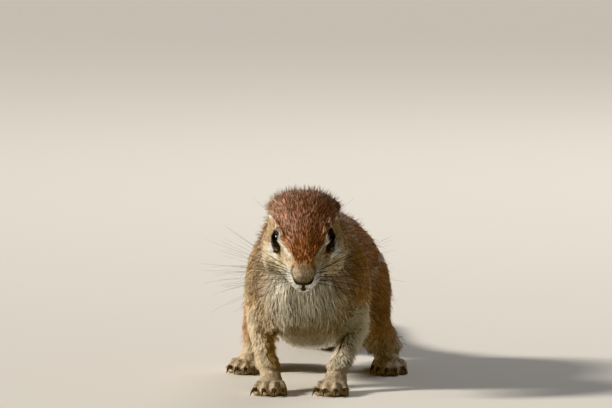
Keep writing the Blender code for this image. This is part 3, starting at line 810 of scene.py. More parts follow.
def coat_colour(points, normals, zones):
    """The coat's colour at points of the skin: the zones' dyes, the markings with their painted shade and
    light, and streaks along the hairs.
    """
    column = {zone: zones[:, k] for k, zone in enumerate(ZONES)}
    colour = zones @ np.array(ZONE_DYES)
    colour = face_dyes(colour, points, column)
    colour = body_dyes(colour, points, normals, column)
    place = beside_middle(points)
    streaks = ripple(place * (1.0, 0.16, 1.0), 0.9, 7) * (column["face"] + column["muzzle"])
    streaks = streaks + ripple(points * (1.0, 1.0, 0.3), 1.6, 9) * column["chest"]
    streaks = streaks + 1.2 * collar_share(points, column) * ripple(points * (1.0, 0.5, 0.45), 1.3, 14)
    mottle = 1 + 0.08 * ripple(points, 5.0, 5) + 0.07 * ripple(points, 1.7, 6) + 0.22 * streaks
    return colour * mottle[:, None]


def dye(mesh, colours):
    """Writes the colours, one for each point, to the mesh's coat attribute."""
    layer = mesh.color_attributes.new("coat", "FLOAT_COLOR", "POINT")
    table = np.ones((len(colours), 4), np.float32)
    table[:, :3] = np.clip(colours, 0.0, 1.0)
    layer.data.foreach_set("color", table.ravel())


RELIEF_HEIGHT = 0.3


def maths(tree, operation, *inputs, clamp=False):
    """The output of a math node whose inputs are numbers or other nodes' outputs."""
    node = tree.nodes.new("ShaderNodeMath")
    node.operation = operation
    node.use_clamp = clamp
    for socket, given in zip(node.inputs, inputs):
        if isinstance(given, float):
            socket.default_value = given
        else:
            tree.links.new(given, socket)
    return node.outputs[0]


def fine_grain():
    """A node group that mottles a dye, its roughness and its normal with noise of a grain size in mm.

    The gain is 1 + mottle * (noise - 0.5); the dye and the roughness are multiplied by it.
    """
    group = bpy.data.node_groups.new("fine grain", "ShaderNodeTree")
    sockets = (
        ("Dye", "INPUT", "NodeSocketColor"),
        ("Grain", "INPUT", "NodeSocketFloat"),
        ("Mottle", "INPUT", "NodeSocketFloat"),
        ("Relief", "INPUT", "NodeSocketFloat"),
        ("Roughness", "INPUT", "NodeSocketFloat"),
        ("Colour", "OUTPUT", "NodeSocketColor"),
        ("Roughness", "OUTPUT", "NodeSocketFloat"),
        ("Normal", "OUTPUT", "NodeSocketVector"),
    )
    for title, way, kind in sockets:
        group.interface.new_socket(title, in_out=way, socket_type=kind)
    nodes, links = group.nodes, group.links
    given, result = nodes.new("NodeGroupInput").outputs, nodes.new("NodeGroupOutput").inputs
    place = nodes.new("ShaderNodeTexCoord").outputs["Object"]
    noise = nodes.new("ShaderNodeTexNoise")
    noise.inputs["Detail"].default_value = 3.0
    links.new(place, noise.inputs["Vector"])
    links.new(maths(group, "DIVIDE", 1.0 / MM, given["Grain"]), noise.inputs["Scale"])
    centred = maths(group, "SUBTRACT", noise.outputs["Fac"], 0.5)
    gain = maths(group, "MULTIPLY_ADD", centred, given["Mottle"], 1.0)
    tinted = nodes.new("ShaderNodeVectorMath")
    tinted.operation = "SCALE"
    links.new(given["Dye"], tinted.inputs[0])
    links.new(gain, tinted.inputs["Scale"])
    bump = nodes.new("ShaderNodeBump")
    bump.inputs["Distance"].default_value = RELIEF_HEIGHT * MM
    links.new(given["Relief"], bump.inputs["Strength"])
    links.new(noise.outputs["Fac"], bump.inputs["Height"])
    links.new(tinted.outputs[0], result["Colour"])
    links.new(maths(group, "MULTIPLY", given["Roughness"], gain, clamp=True), result["Roughness"])
    links.new(bump.outputs[0], result["Normal"])
    return group


GRAIN = fine_grain()


def grained_material(name, dye, roughness, grain, mottle, relief):
    """A Principled BSDF of a colour, or of the coat attribute where dye is None, with fine grain."""
    material = bpy.data.materials.new(name)
    material.use_nodes = True
    nodes, links = material.node_tree.nodes, material.node_tree.links
    shader = nodes["Principled BSDF"]
    texture = nodes.new("ShaderNodeGroup")
    texture.node_tree = GRAIN
    texture.inputs["Grain"].default_value = grain
    texture.inputs["Mottle"].default_value = mottle
    texture.inputs["Relief"].default_value = relief
    texture.inputs["Roughness"].default_value = roughness
    if dye is None:
        layer = nodes.new("ShaderNodeAttribute")
        layer.attribute_name = "coat"
        links.new(layer.outputs["Color"], texture.inputs["Dye"])
    else:
        texture.inputs["Dye"].default_value = (*dye, 1.0)
    links.new(texture.outputs["Colour"], shader.inputs["Base Color"])
    links.new(texture.outputs["Roughness"], shader.inputs["Roughness"])
    links.new(texture.outputs["Normal"], shader.inputs["Normal"])
    return material


# The hide under the tufts is painted darker than their tips, as underfur and the shade deep in the coat, and
# is darkened least on the thinly haired paws.
zones = zone_shares(points, normals, shares)
skin_colour = coat_colour(points, normals, zones)
paws = zones[:, ZONES.index("forepaw")] + zones[:, ZONES.index("hindfoot")]
dye(skin_mesh, (0.50 + 0.25 * paws)[:, None] * skin_colour)
skin_mesh.materials.append(grained_material("hide", None, 0.8, 0.45, 1.3, 0.8))
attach(skin, "root")
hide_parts(*[node for part in PARTS for node in FLESH[part]])

# --- Coat -------------------------------------------------------------------------------------------------
# The coat is short and harsh: grizzled bristles a few millimetres long on the head, longer on the body, and
# down to fine nap on the paws.  Each tuft is a thin closed spike rooted in the skin and bent back along it.

# Length, width, lift at the root and at the tip in degrees, and tufts on each square millimetre.
TUFTS = {
    "muzzle": (1.5, 0.21, 22, 8, 17.0),
    "face": (3.1, 0.24, 20, 10, 11.0),
    "crown": (3.5, 0.33, 48, 38, 9.0),
    "neck": (6.2, 0.40, 26, 13, 4.6),
    "chest": (9.0, 0.40, 17, 10, 5.2),
    "back": (8.2, 0.46, 20, 10, 3.2),
    "belly": (8.5, 0.60, 18, 6, 1.5),
    "foreleg": (4.1, 0.28, 19, 9, 6.6),
    "hindleg": (5.8, 0.38, 20, 9, 3.6),
    "forepaw": (1.4, 0.20, 12, 4, 11.5),
    "hindfoot": (1.6, 0.24, 12, 4, 6.5),
    "tail": (4.0, 0.40, 20, 8, 2.0),
}
# The way the hairs lie on each part, and on the chest.  The head's fan out from a place in front of it.
FLOW = {
    "body": (0.0, 1.0, -0.30),
    "foreleg": (0.0, 0.18, -1.0),
    "hindleg": (0.0, 0.60, -0.80),
    "forepaw": (0.0, -1.0, -0.2),
    "hindfoot": (0.0, -1.0, -0.2),
    "tail": (0.0, 1.0, 0.0),
}
CHEST_FLOW = (0.0, 0.15, -1.0)
FLOW_SOURCE = np.array([0.0, -15.0, 2.0])
FLOW_OUTWARD, BODY_HALF = 0.20, 25.0
FLOW_ROUNDS = 12


def along_skin(ways, normals):
    """The part of each way that lies along the skin."""
    return ways - np.sum(ways * normals, axis=1, keepdims=True) * normals


def lie_of_coat(points, normals, shares, zones, edges):
    """The way the hairs lie along the skin: back from the nose, down the chest and out to the toes."""
    fan = unit(face_place(points) - FLOW_SOURCE) @ HEAD_AXES
    chest = zones[:, [ZONES.index("chest")]]
    flow = share(shares, "head")[:, None] * fan + chest * unit(np.array(CHEST_FLOW))
    for part, way in FLOW.items():
        amount = share(shares, part)[:, None] - (chest if part == "body" else 0)
        flow = flow + amount * unit(np.array(way))
    flow[:, 0] += FLOW_OUTWARD * share(shares, "body") * np.clip(points[:, 0] / BODY_HALF, -1, 1)
    for _ in range(FLOW_ROUNDS):
        flow = along_skin(flow, normals)
        flow = 0.5 * unit(flow) + 0.5 * neighbour_mean(flow, edges)
    return unit(along_skin(flow, normals))


def scattered(points, triangles, density, generator):
    """Roots spread by area and density, as a function that reads a table of the surface's values at them."""
    a, b, c = (points[triangles[:, k]] for k in range(3))
    area = np.linalg.norm(np.cross(b - a, c - a), axis=1) / 2
    total = np.cumsum(area * density[triangles].mean(axis=1))
    count = int(total[-1])
    place = (np.arange(count) + generator.random(count)) / count * total[-1]
    corners = triangles[np.minimum(np.searchsorted(total, place), len(triangles) - 1)]
    u, v = generator.random((2, count))
    over = u + v > 1
    u[over], v[over] = 1 - u[over], 1 - v[over]
    weights = np.stack([1 - u - v, u, v], axis=1)
    return lambda values: np.einsum("ij,ijk->ik", weights, values[corners])


def spike_faces(rings):
    """One spike's triangles and the places of their corners on its patch, from 0 to 1 across and along."""
    faces, patch = [], []
    tip = 3 * rings + 1
    for side in range(3):
        after = (side + 1) % 3
        left, right, middle = side / 3, (side + 1) / 3, (side + 0.5) / 3
        step = 1 / (rings + 1)
        faces.append((0, 1 + side, 1 + after))
        patch += [(middle, 0), (left, step), (right, step)]
        for ring in range(rings - 1):
            low, high = 1 + 3 * ring, 4 + 3 * ring
            v0, v1 = (ring + 1) * step, (ring + 2) * step
            faces += [(low + side, high + after, low + after), (low + side, high + side, high + after)]
            patch += [(left, v0), (right, v1), (right, v0)]
            patch += [(left, v0), (left, v1), (right, v1)]
        faces.append((tip - 3 + after, tip - 3 + side, tip))
        patch += [(right, rings * step), (left, rings * step), (middle, 1)]
    return np.array(faces), np.array(patch)


HAIR_ROUNDING = 0.55
FLOOR_GAP = 0.15
PATCH = 0.003
UNWRAP_EDGE = 0.004


def spikes(name, path, width, normals, colours, unwrap):
    """A mesh of closed spikes, each from a root point through rings of three to a tip.

    path holds each spike's stations (count, stations, 3), width the rings' widths, colours one colour for
    each station, and unwrap each root's place on the skin's unwrap, from 0 to 1.  The shading leans on the
    skin's own, so that thin spikes read as one soft coat.
    """
    count, stations = path.shape[:2]
    rings = stations - 2
    along = unit(path[:, 2:] - path[:, :-2])
    side = unit(np.cross(along, normals[:, None, :]))
    upward = np.cross(side, along)
    half = width[:, :, None] / 2
    ring = np.stack(
        [
            path[:, 1:-1] - half * side,
            path[:, 1:-1] + half * side,
            path[:, 1:-1] + HAIR_ROUNDING * 2 * half * upward,
        ],
        axis=2,
    )
    points = np.concatenate([path[:, :1], ring.reshape(count, 3 * rings, 3), path[:, -1:]], axis=1)
    points[:, :, 2] = np.maximum(points[:, :, 2], FLOOR_GAP)
    faces, patch = spike_faces(rings)
    size = 3 * rings + 2
    triangles = (faces[None] + size * np.arange(count)[:, None, None]).reshape(-1, 3)
    mesh = triangle_mesh(name, points.reshape(-1, 3), triangles)
    ring_shading = np.stack(
        [
            unit(0.8 * normals[:, None] - 0.6 * side),
            unit(0.8 * normals[:, None] + 0.6 * side),
            unit(0.7 * normals[:, None] + 0.5 * upward),
        ],
        axis=2,
    )
    tip_shading = unit(0.8 * normals[:, None] + 0.4 * upward[:, -1:])
    shading = [normals[:, None], ring_shading.reshape(count, 3 * rings, 3), tip_shading]
    shading = np.concatenate(shading, axis=1).reshape(-1, 3)
    mesh.normals_split_custom_set_from_vertices(shading.astype(np.float32))
    table = [colours[:, :1], np.repeat(colours[:, 1:-1], 3, axis=1), colours[:, -1:]]
    dye(mesh, np.concatenate(table, axis=1).reshape(-1, 3))
    room = 1 - 2 * UNWRAP_EDGE
    uv = UNWRAP_EDGE + room * unwrap[:, None] + PATCH * (patch[None] - 0.5)
    layer = mesh.uv_layers.new(name="OFBake")
    layer.data.foreach_set("uv", uv.astype(np.float32).ravel())
    return mesh


def coat_material(name, roughness):
    """A coat's finish: its dye, lightly varied along and across the hairs, with a soft grazing sheen."""
    material = grained_material(name, None, roughness, 0.8, 0.5, 0.15)
    shader = material.node_tree.nodes["Principled BSDF"]
    shader.inputs["Specular IOR Level"].default_value = 0.25
    shader.inputs["Sheen Weight"].default_value = 0.12
    shader.inputs["Sheen Roughness"].default_value = 0.4
    return material


COAT_MATERIALS = {
    "crown_fur": coat_material("russet bristles", 0.55),
    "back_fur": coat_material("cinnamon coat", 0.60),
    "limb_fur": coat_material("leg nap", 0.60),
    "tail_fur": coat_material("tail brush", 0.60),
    "ear": coat_material("ear nap", 0.65),
}


def coat_piece(name, slot, *details, **more):
    """Spikes as a piece of the coat, riding on the body."""
    mesh = spikes(name, *details, **more)
    mesh.materials.append(COAT_MATERIALS[slot])
    obj = linked(name, mesh)
    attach(obj, "root")


def round_unwrap(points, middle, axis):
    """The skin unrolled round an axis: the turn about it and the place along it, both from 0 to 1."""
    axis = unit(np.asarray(axis, float))
    side = unit(np.cross(axis, (0.0, 0.0, 1.0) if abs(axis[2]) < 0.7 else (0.0, 1.0, 0.0)))
    away = points - middle
    along = away @ axis
    turn = np.arctan2(away @ np.cross(side, axis), away @ side) / (2 * math.pi) + 0.5
    span = along.max() - along.min()
    return np.stack([turn, (along - along.min()) / span], axis=1)


flow = lie_of_coat(points, normals, shares, zones, edges)
place = beside_middle(points)
away = place - EYE_PLACE
eye_far = np.linalg.norm(away, axis=1)
reach = np.where(eye_far < 9.0, opening_reach(away / eye_far[:, None]), 9.0)

# No tuft grows inside the lids, in the mouth, on the nose's leather or on the soles.
density = zone_value(TUFTS, zones, 4)
density = density * smoothstep(1.02, 1.10, reach) * (1 - 0.9 * lip * on_head[:, 0])
density = density * smoothstep(0.5, 1.3, line_distance(place, nose_rim))
density = density * smoothstep(0.95, 1.5, mouth_reach(place))
density = density * (1 - smoothstep(1.5, 0.6, points[:, 2]) * smoothstep(-0.2, -0.7, normals[:, 2]))

random = np.random.default_rng(11)
at_roots = scattered(points, triangles, density, random)
root, root_normal, root_flow, root_zones = (at_roots(table) for table in (points, normals, flow, zones))
root_normal = unit(root_normal)
root_reach = at_roots(reach[:, None])[:, 0]
count = len(root)

# Tufts by the eye point away from it and are shorter, so that none crosses the ball.
away = root - np.where(face_place(root)[:, :1] > 0, eye_left, eye_right)
near_lid = smoothstep(2.7, 1.2, root_reach)[:, None]
by_lid = smoothstep(2.3, 1.2, root_reach)
root_flow = unit(root_flow * (1 - 0.75 * near_lid) + unit(away) * 0.75 * near_lid)
root_flow = unit(along_skin(root_flow, root_normal))

# A ruffle of pale hairs stands out from the left shoulder; they are painted paler still, as light on them.
RUFFLE_PLACE, RUFFLE_SIZE = (24.5, -150.0, 29.0), (9.0, 11.0, 8.5)
RUFFLE_WAY = (1.0, -0.35, -0.15)
RUFFLE_LIFT = math.radians(30.0)
SWAY_EACH, SWAY_TOGETHER = math.radians(9.0), math.radians(12.0)
ruffled = spot(root, RUFFLE_PLACE, RUFFLE_SIZE, 2)
outward = along_skin(np.array(RUFFLE_WAY), root_normal)
root_flow = unit(root_flow + 1.6 * ruffled[:, None] * outward)
sway = SWAY_EACH * random.normal(size=count) + SWAY_TOGETHER * ripple(root, 3.0, 8)
sway = sway * (1 + 2.5 * ruffled)
across = np.cross(root_normal, root_flow)
root_flow = root_flow * np.cos(sway)[:, None] + across * np.sin(sway)[:, None]

# Lengths, widths and lifts vary from tuft to tuft, and tufts are shorter by the lids, the nose and the mouth.
length = zone_value(TUFTS, root_zones, 0) * random.uniform(0.72, 1.18, count)
root_place = beside_middle(root)
bare_near = np.minimum(line_distance(root_place, nose_rim), line_distance(root_place, mouth_line))
length = length * (1 - 0.74 * by_lid) * (0.35 + 0.65 * smoothstep(0.8, 3.2, bare_near))
length = length * (1 + 0.45 * ruffled)
width = zone_value(TUFTS, root_zones, 1) * random.uniform(0.75, 1.25, count)
first_lift, last_lift = (
    np.radians(zone_value(TUFTS, root_zones, k) + 5 * random.normal(size=count)) + RUFFLE_LIFT * ruffled
    for k in (2, 3)
)

# Grizzle: each tuft is of the coat's colour in the middle, and its tip is the coat's colour, dark, or pale.
# Its root is painted dark, as the shade deep in the coat.  Each zone's row holds its share of dark tips and
# of pale tips, the spread of its tufts' brightness, and the brightness of their roots' painted shade.
GRIZZLE = {
    "muzzle": (0.06, 0.20, 0.14, 0.45),
    "face": (0.20, 0.30, 0.22, 0.30),
    "crown": (0.42, 0.40, 0.66, 0.08),
    "neck": (0.34, 0.30, 0.24, 0.22),
    "chest": (0.05, 0.45, 0.20, 0.25),
    "back": (0.36, 0.28, 0.24, 0.25),
    "belly": (0.0, 0.2, 0.12, 0.45),
    "foreleg": (0.10, 0.24, 0.22, 0.28),
    "hindleg": (0.12, 0.30, 0.20, 0.36),
    "forepaw": (0.05, 0.25, 0.16, 0.55),
    "hindfoot": (0.05, 0.25, 0.16, 0.60),
    "tail": (0.2, 0.4, 0.2, 0.4),
}
# Pale cream of the ruffle's hairs, with painted light in it.
RUFFLE_PALE_AND_PAINTED_LIGHT = (0.95, 0.85, 0.62)
CROWN_TIP = (0.97, 0.84, 0.66)
BRIGHTEST = 0.6
LIGHT_COAT, DARK_COAT = 1.6, 0.35
dark_share, pale_share, spread, painted_root_darkness = (zone_value(GRIZZLE, root_zones, k) for k in range(4))
clump = 0.9 * ripple(root, 0.55, 12) + 0.5 * ripple(root, 1.3, 13)
colour = coat_colour(root, root_normal, root_zones)
brightness = spread * (0.75 * random.normal(size=count) + 0.8 * clump)
colour = colour * np.exp(np.minimum(brightness, BRIGHTEST))[:, None]
# Ruffled tufts are painted pale cream: their own pale colour and painted light on them.
ruffle_pale_and_painted_light = np.where(random.random(count) < 1.4 * ruffled, 0.95, 0.25 * ruffled)
colour = mixed(colour, RUFFLE_PALE_AND_PAINTED_LIGHT, ruffle_pale_and_painted_light)
chance = random.random(count)
dark_tip = (chance < dark_share) & (np.sum(colour, axis=1) <= LIGHT_COAT)
pale_tip = (chance > 1 - pale_share) & (np.sum(colour, axis=1) > DARK_COAT)
tip_colour = colour * 1.08
tip_colour = np.where(dark_tip[:, None], 0.12 * colour + 0.35 * np.array(UMBER), tip_colour)
on_crown = root_zones[:, [ZONES.index("crown")]]
pale_dye = (1 - on_crown) * np.array(CREAM) + on_crown * np.array(CROWN_TIP)
tip_colour = np.where(pale_tip[:, None], 0.45 * colour + 0.48 * pale_dye, tip_colour)
colour = np.where(dark_tip[:, None], 0.55 * colour, colour)
tufts = {
    "root": root,
    "normal": root_normal,
    "flow": root_flow,
    "length": length,
    "width": width,
    "first_lift": first_lift,
    "last_lift": last_lift,
    "root_dye_with_painted_shade": painted_root_darkness[:, None] * colour,
    "dye": colour,
    "tip_dye": tip_colour,
}
ROOT_SINK = 0.12


def bent_path(hair, stations):
    """Stations along bent hairs: each stretch leaves the skin at a lift between the root's and the tip's."""
    path = [hair["root"] - ROOT_SINK * hair["normal"]]
    for k in range(1, stations):
        change = hair["last_lift"] - hair["first_lift"]
        lift = hair["first_lift"] + change * (k - 1) / max(stations - 2, 1)
        step = hair["length"] / (stations - 1)
        way = np.cos(lift)[:, None] * hair["flow"] + np.sin(lift)[:, None] * hair["normal"]
        path.append(path[-1] + step[:, None] * way)
    return np.stack(path, axis=1)


def coat_of(name, slot, hairs, rows, rings, middle, axis):
    """The chosen hairs as one piece with the given number of rings, unrolled round a middle and an axis."""
    hair = {key: values[rows] for key, values in hairs.items()}
    path = bent_path(hair, rings + 2)
    widths = hair["width"][:, None] * np.linspace(1.0, 0.75, rings)[None]
    dyes = np.stack([hair["root_dye_with_painted_shade"], *[hair["dye"]] * rings, hair["tip_dye"]], axis=1)
    unwrap = round_unwrap(hair["root"], np.asarray(middle, float), axis)
    coat_piece(name, slot, path, widths, hair["normal"], dyes, unwrap)


# The coat's pieces, each unrolled round its own middle and axis for its unwrap.
SIDES = (("left", 1.0), ("right", -1.0))
TRUNK_MIDDLE, TRUNK_AXIS = (0, -80, 42), (0, 1, 0)
LIMB_AXES = {"foreleg": (0, 0.3, 1), "hindleg": (0, 0.3, 1), "forepaw": (0, 1, 0), "hindfoot": (0, 1, 0)}
main_zone = np.argmax(root_zones, axis=1)
in_zone = {zone: main_zone == k for k, zone in enumerate(ZONES)}
on_side = {"left": root[:, 0] > 0, "right": root[:, 0] <= 0}
in_front = root[:, 1] < TRUNK_MIDDLE[1]
head_back = HEAD_AXES[1]
TUFT_RINGS, GUARD_RINGS = 1, 2
coat_of("coat_muzzle", "limb_fur", tufts, in_zone["muzzle"], TUFT_RINGS, nose_middle, head_back)
for side_name, _ in SIDES:
    rows = in_zone["face"] & on_side[side_name]
    coat_of(f"coat_face_{side_name}", "limb_fur", tufts, rows, TUFT_RINGS, nose_middle, head_back)
coat_of("coat_crown", "crown_fur", tufts, in_zone["crown"], TUFT_RINGS, body_place((0, 20, -8)), head_back)
coat_of("coat_neck", "back_fur", tufts, in_zone["neck"], TUFT_RINGS, (0, -150, 70), (0, 1, -0.2))
coat_of("coat_chest", "back_fur", tufts, in_zone["chest"], TUFT_RINGS, (0, -140, 45), (0, 0, 1))
for name, half in (("coat_shoulders", in_front), ("coat_rump", ~in_front)):
    coat_of(name, "back_fur", tufts, in_zone["back"] & half, TUFT_RINGS, TRUNK_MIDDLE, TRUNK_AXIS)
coat_of("coat_belly", "back_fur", tufts, in_zone["belly"], TUFT_RINGS, (0, -80, 50), TRUNK_AXIS)
for side_name, _ in SIDES:
    for limb, axis in LIMB_AXES.items():
        rows = in_zone[limb] & on_side[side_name]
        middle = root[rows].mean(axis=0)
        coat_of(f"coat_{limb}_{side_name}", "limb_fur", tufts, rows, TUFT_RINGS, middle, axis)

# Guard hairs: long dark bristles that stand out of the coat, most of all round the back of the cap.  Length,
# lift at the root and at the tip in degrees, and hairs on each square millimetre.  Other zones have none, and
# their row counts only where they blend into these.
GUARD_HAIRS = dict.fromkeys(ZONES, (4.0, 20, 10, 0.0)) | {
    "crown": (6.2, 64, 42, 1.0),
    "neck": (8.5, 38, 22, 0.60),
    "back": (10.0, 32, 16, 0.16),
    "face": (5.5, 34, 16, 0.05),
    "foreleg": (6.5, 32, 14, 0.06),
    "hindleg": (8.5, 30, 14, 0.06),
}
GUARD_WIDTH = 0.17
PALE_GUARDS = 0.22
behind = smoothstep(18.0, 46.0, face_place(points)[:, 1])
density = zone_value(GUARD_HAIRS, zones, 3)
density = density * (1 - zones[:, ZONES.index("crown")] * (1 - (0.15 + 0.85 * behind)))
density = density * smoothstep(3.0, 4.2, reach)
at_roots = scattered(points, triangles, density, random)
root, root_normal, root_zones = at_roots(points), unit(at_roots(normals)), at_roots(zones)
count = len(root)
root_flow = unit(at_roots(flow) + 0.16 * random.normal(size=(count, 3)))
length = zone_value(GUARD_HAIRS, root_zones, 0) * random.uniform(0.65, 1.15, count)
first_lift, last_lift = (
    np.radians(zone_value(GUARD_HAIRS, root_zones, k) + 8 * random.normal(size=count)) for k in (1, 2)
)
colour = mixed(0.5 * coat_colour(root, root_normal, root_zones), UMBER, np.full(count, 0.55))
pale_tip = random.random(count) < PALE_GUARDS
guard_hairs = {
    "root": root,
    "normal": root_normal,
    "flow": unit(along_skin(root_flow, root_normal)),
    "length": length,
    "width": np.full(count, GUARD_WIDTH),
    "first_lift": first_lift,
    "last_lift": last_lift,
    # The roots are painted a little darker, as shade in the coat.
    "root_dye_with_painted_shade": 0.8 * colour,
    "dye": colour,
    "tip_dye": np.where(pale_tip[:, None], 0.8 * np.array(CREAM), 0.5 * np.array(UMBER)),
}
coat_of("guard_hairs", "back_fur", guard_hairs, np.arange(count), GUARD_RINGS, TRUNK_MIDDLE, TRUNK_AXIS)

# --- Eyes and lids ----------------------------------------------------------------------------------------
# Each eye is a glass ball, almost black, with a bulging cornea over a dark brown iris.  A narrow bare margin
# of black lid runs round it, pointed at the front corner.

IRIS_TURN = math.radians(52.0)
PUPIL_TURN = math.radians(26.0)
CORNEA_RISE = 0.30
PUPIL_BLACK = 0.004
IRIS_BROWN = (0.018, 0.009, 0.005)
BALL_ROWS, BALL_COLUMNS = 41, 64
LID_WIDTH = 0.34
LID_THICKNESS = 0.26
LID_PROUD = 0.12
LID_STEPS, LID_SIDES = 96, 12


def grid_triangles(rows, columns):
    """Triangles over a grid of points, row by row, with the last column joined to the first."""
    row = np.arange(rows - 1)[:, None]
    column = np.arange(columns)[None, :]
    after = (column + 1) % columns
    a, b = row * columns + column, row * columns + after
    c, d = a + columns, b + columns
    return np.vstack([np.stack(corners, axis=-1).reshape(-1, 3) for corners in ((a, c, b), (b, c, d))])


def oriented(points, triangles):
    """Triangles turned, if need be, so that the closed surface's volume is positive."""
    a, b, c = (points[triangles[:, k]] - points.mean(0) for k in range(3))
    volume = np.einsum("ij,ij->i", a, np.cross(b, c)).sum()
    return triangles if volume > 0 else triangles[:, ::-1]


def domed_ball(name, middle, axis, radius, rise):
    """A ball from poles on its axis, its surface lifted by a bell curve round the front pole."""
    turn = np.linspace(0, math.pi, BALL_ROWS)[:, None]
    round_axis = np.linspace(0, 2 * math.pi, BALL_COLUMNS, endpoint=False)[None, :]
    side = unit(np.cross(axis, (0.0, 0.0, 1.0)))
    upward = np.cross(side, axis)
    far = radius + rise * np.exp(-((turn / IRIS_TURN) ** 4))
    points = middle + (
        (far * np.cos(turn) + 0 * round_axis)[..., None] * axis
        + (far * np.sin(turn) * np.cos(round_axis))[..., None] * side
        + (far * np.sin(turn) * np.sin(round_axis))[..., None] * upward
    )
    points = points.reshape(-1, 3)
    mesh = triangle_mesh(name, points, oriented(points, grid_triangles(BALL_ROWS, BALL_COLUMNS)))
    form = bmesh.new()
    form.from_mesh(mesh)
    bmesh.ops.remove_doubles(form, verts=form.verts, dist=1e-6)
    form.to_mesh(mesh)
    form.free()
    mesh.shade_smooth()
    return mesh


def eye_material():
    """Dark glass: smooth, with its pupil and iris dyed in its coat attribute."""
    material = bpy.data.materials.new("eye")
    material.use_nodes = True
    nodes, links = material.node_tree.nodes, material.node_tree.links
    shader = nodes["Principled BSDF"]
    shader.inputs["Roughness"].default_value = 0.07
    shader.inputs["Specular IOR Level"].default_value = 0.11
    layer = nodes.new("ShaderNodeAttribute")
    layer.attribute_name = "coat"
    links.new(layer.outputs["Color"], shader.inputs["Base Color"])
    return material


def lid_ring(flip):
    """A closed roll round the lids' opening: an oval carried along the edge where opening_reach is 1."""
    turn = np.linspace(0, 2 * math.pi, LID_STEPS, endpoint=False)
    along = OPENING_LONG * np.cos(turn)
    pinch = 1.0 - CORNER_PINCH * np.clip(np.cos(turn), 0, 1) ** 2
    upward = OPENING_SHORT * np.sin(turn) * pinch
    outward = unit(EYE_AXIS + np.tan(along)[:, None] * corner_axis + np.tan(upward)[:, None] * lid_axis)
    path = EYE_PLACE + outward * (EYE_RADIUS + LID_PROUD)
    forward = unit(np.roll(path, -1, axis=0) - np.roll(path, 1, axis=0))
    sideways = np.cross(forward, outward)
    bend = np.linspace(0, 2 * math.pi, LID_SIDES, endpoint=False)
    ring = (
        path[:, None]
        + LID_WIDTH * np.cos(bend)[None, :, None] * sideways[:, None]
        + LID_THICKNESS * np.sin(bend)[None, :, None] * outward[:, None]
    )
    points = body_place(ring.reshape(-1, 3) * flip)
    rows = np.arange(LID_STEPS * LID_SIDES).reshape(LID_STEPS, LID_SIDES)
    rows = np.vstack([rows, rows[:1]])
    return points, oriented(points, rows.ravel()[grid_triangles(LID_STEPS + 1, LID_SIDES)])


glass = eye_material()
margin = grained_material("lid margin", (0.014, 0.010, 0.008), 0.5, 0.25, 0.6, 0.3)
for side_name, side in SIDES:
    flip = np.array([side, 1.0, 1.0])
    middle = box_middle(f"eye_{side_name}")
    axis = (EYE_AXIS * flip) @ HEAD_AXES
    mesh = domed_ball(f"eyeball_{side_name}", middle, axis, EYE_RADIUS - CORNEA_RISE, CORNEA_RISE)
    ball_points, _ = mesh_arrays(mesh)
    off_axis = np.arccos(np.clip(unit(ball_points - middle) @ axis, -1, 1))
    iris = smoothstep(PUPIL_TURN - 0.03, PUPIL_TURN + 0.03, off_axis)
    iris = iris * smoothstep(IRIS_TURN + 0.05, IRIS_TURN - 0.05, off_axis)
    dye(mesh, mixed(np.full((len(ball_points), 3), PUPIL_BLACK), IRIS_BROWN, iris))
    mesh.materials.append(glass)
    ball = linked(mesh.name, mesh)
    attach(ball, "root")
    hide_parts(f"eye_{side_name}")

    lid = linked(f"lid_{side_name}", triangle_mesh(f"lid_{side_name}", *lid_ring(flip)))
    lid.data.shade_smooth()
    lid.data.materials.append(margin)
    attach(lid, "root")

# --- Nose -------------------------------------------------------------------------------------------------
# The nose is a small haired dome.  Its bare part is a crescent of dark leather under it, widest at the
# nostrils, which are black slits.

NOSE_HALF = np.array(
    [
        (0.0, -2.2, -1.3),
        (1.3, -2.1, -1.35),
        (2.6, -1.75, -1.2),
        (3.6, -1.2, -0.8),
        (4.3, -0.4, -0.3),
        (4.7, 0.4, 0.2),
    ]
)
NOSE_PATH = np.vstack([NOSE_HALF[:0:-1] * (-1, 1, 1), NOSE_HALF])
NOSE_STATIONS = 49
NOSE_NEAR = 14.0
NOSE_PROUD = 0.30
NOSTRIL_STARTS = (("right", 6), ("left", 36))
NOSTRIL_STATIONS = 7
NOSTRIL_SHIFT = (0.0, -0.12, 0.22)
NOSTRIL_RADIUS = 0.27


def through(points, count):
    """A smooth line of count points through the given ones: a Catmull-Rom curve, worked out as an array."""
    points = np.asarray(points, float)
    ends = np.vstack([2 * points[0] - points[1], points, 2 * points[-1] - points[-2]])
    at = np.linspace(0, len(points) - 1 - 1e-9, count)
    k = at.astype(int)
    t = (at - k)[:, None]
    p0, p1, p2, p3 = (ends[k + j] for j in range(4))
    square = (2 * p0 - 5 * p1 + 4 * p2 - p3) * t**2
    cube = (3 * p1 - p0 - 3 * p2 + p3) * t**3
    return 0.5 * (2 * p1 + (p2 - p0) * t + square + cube)


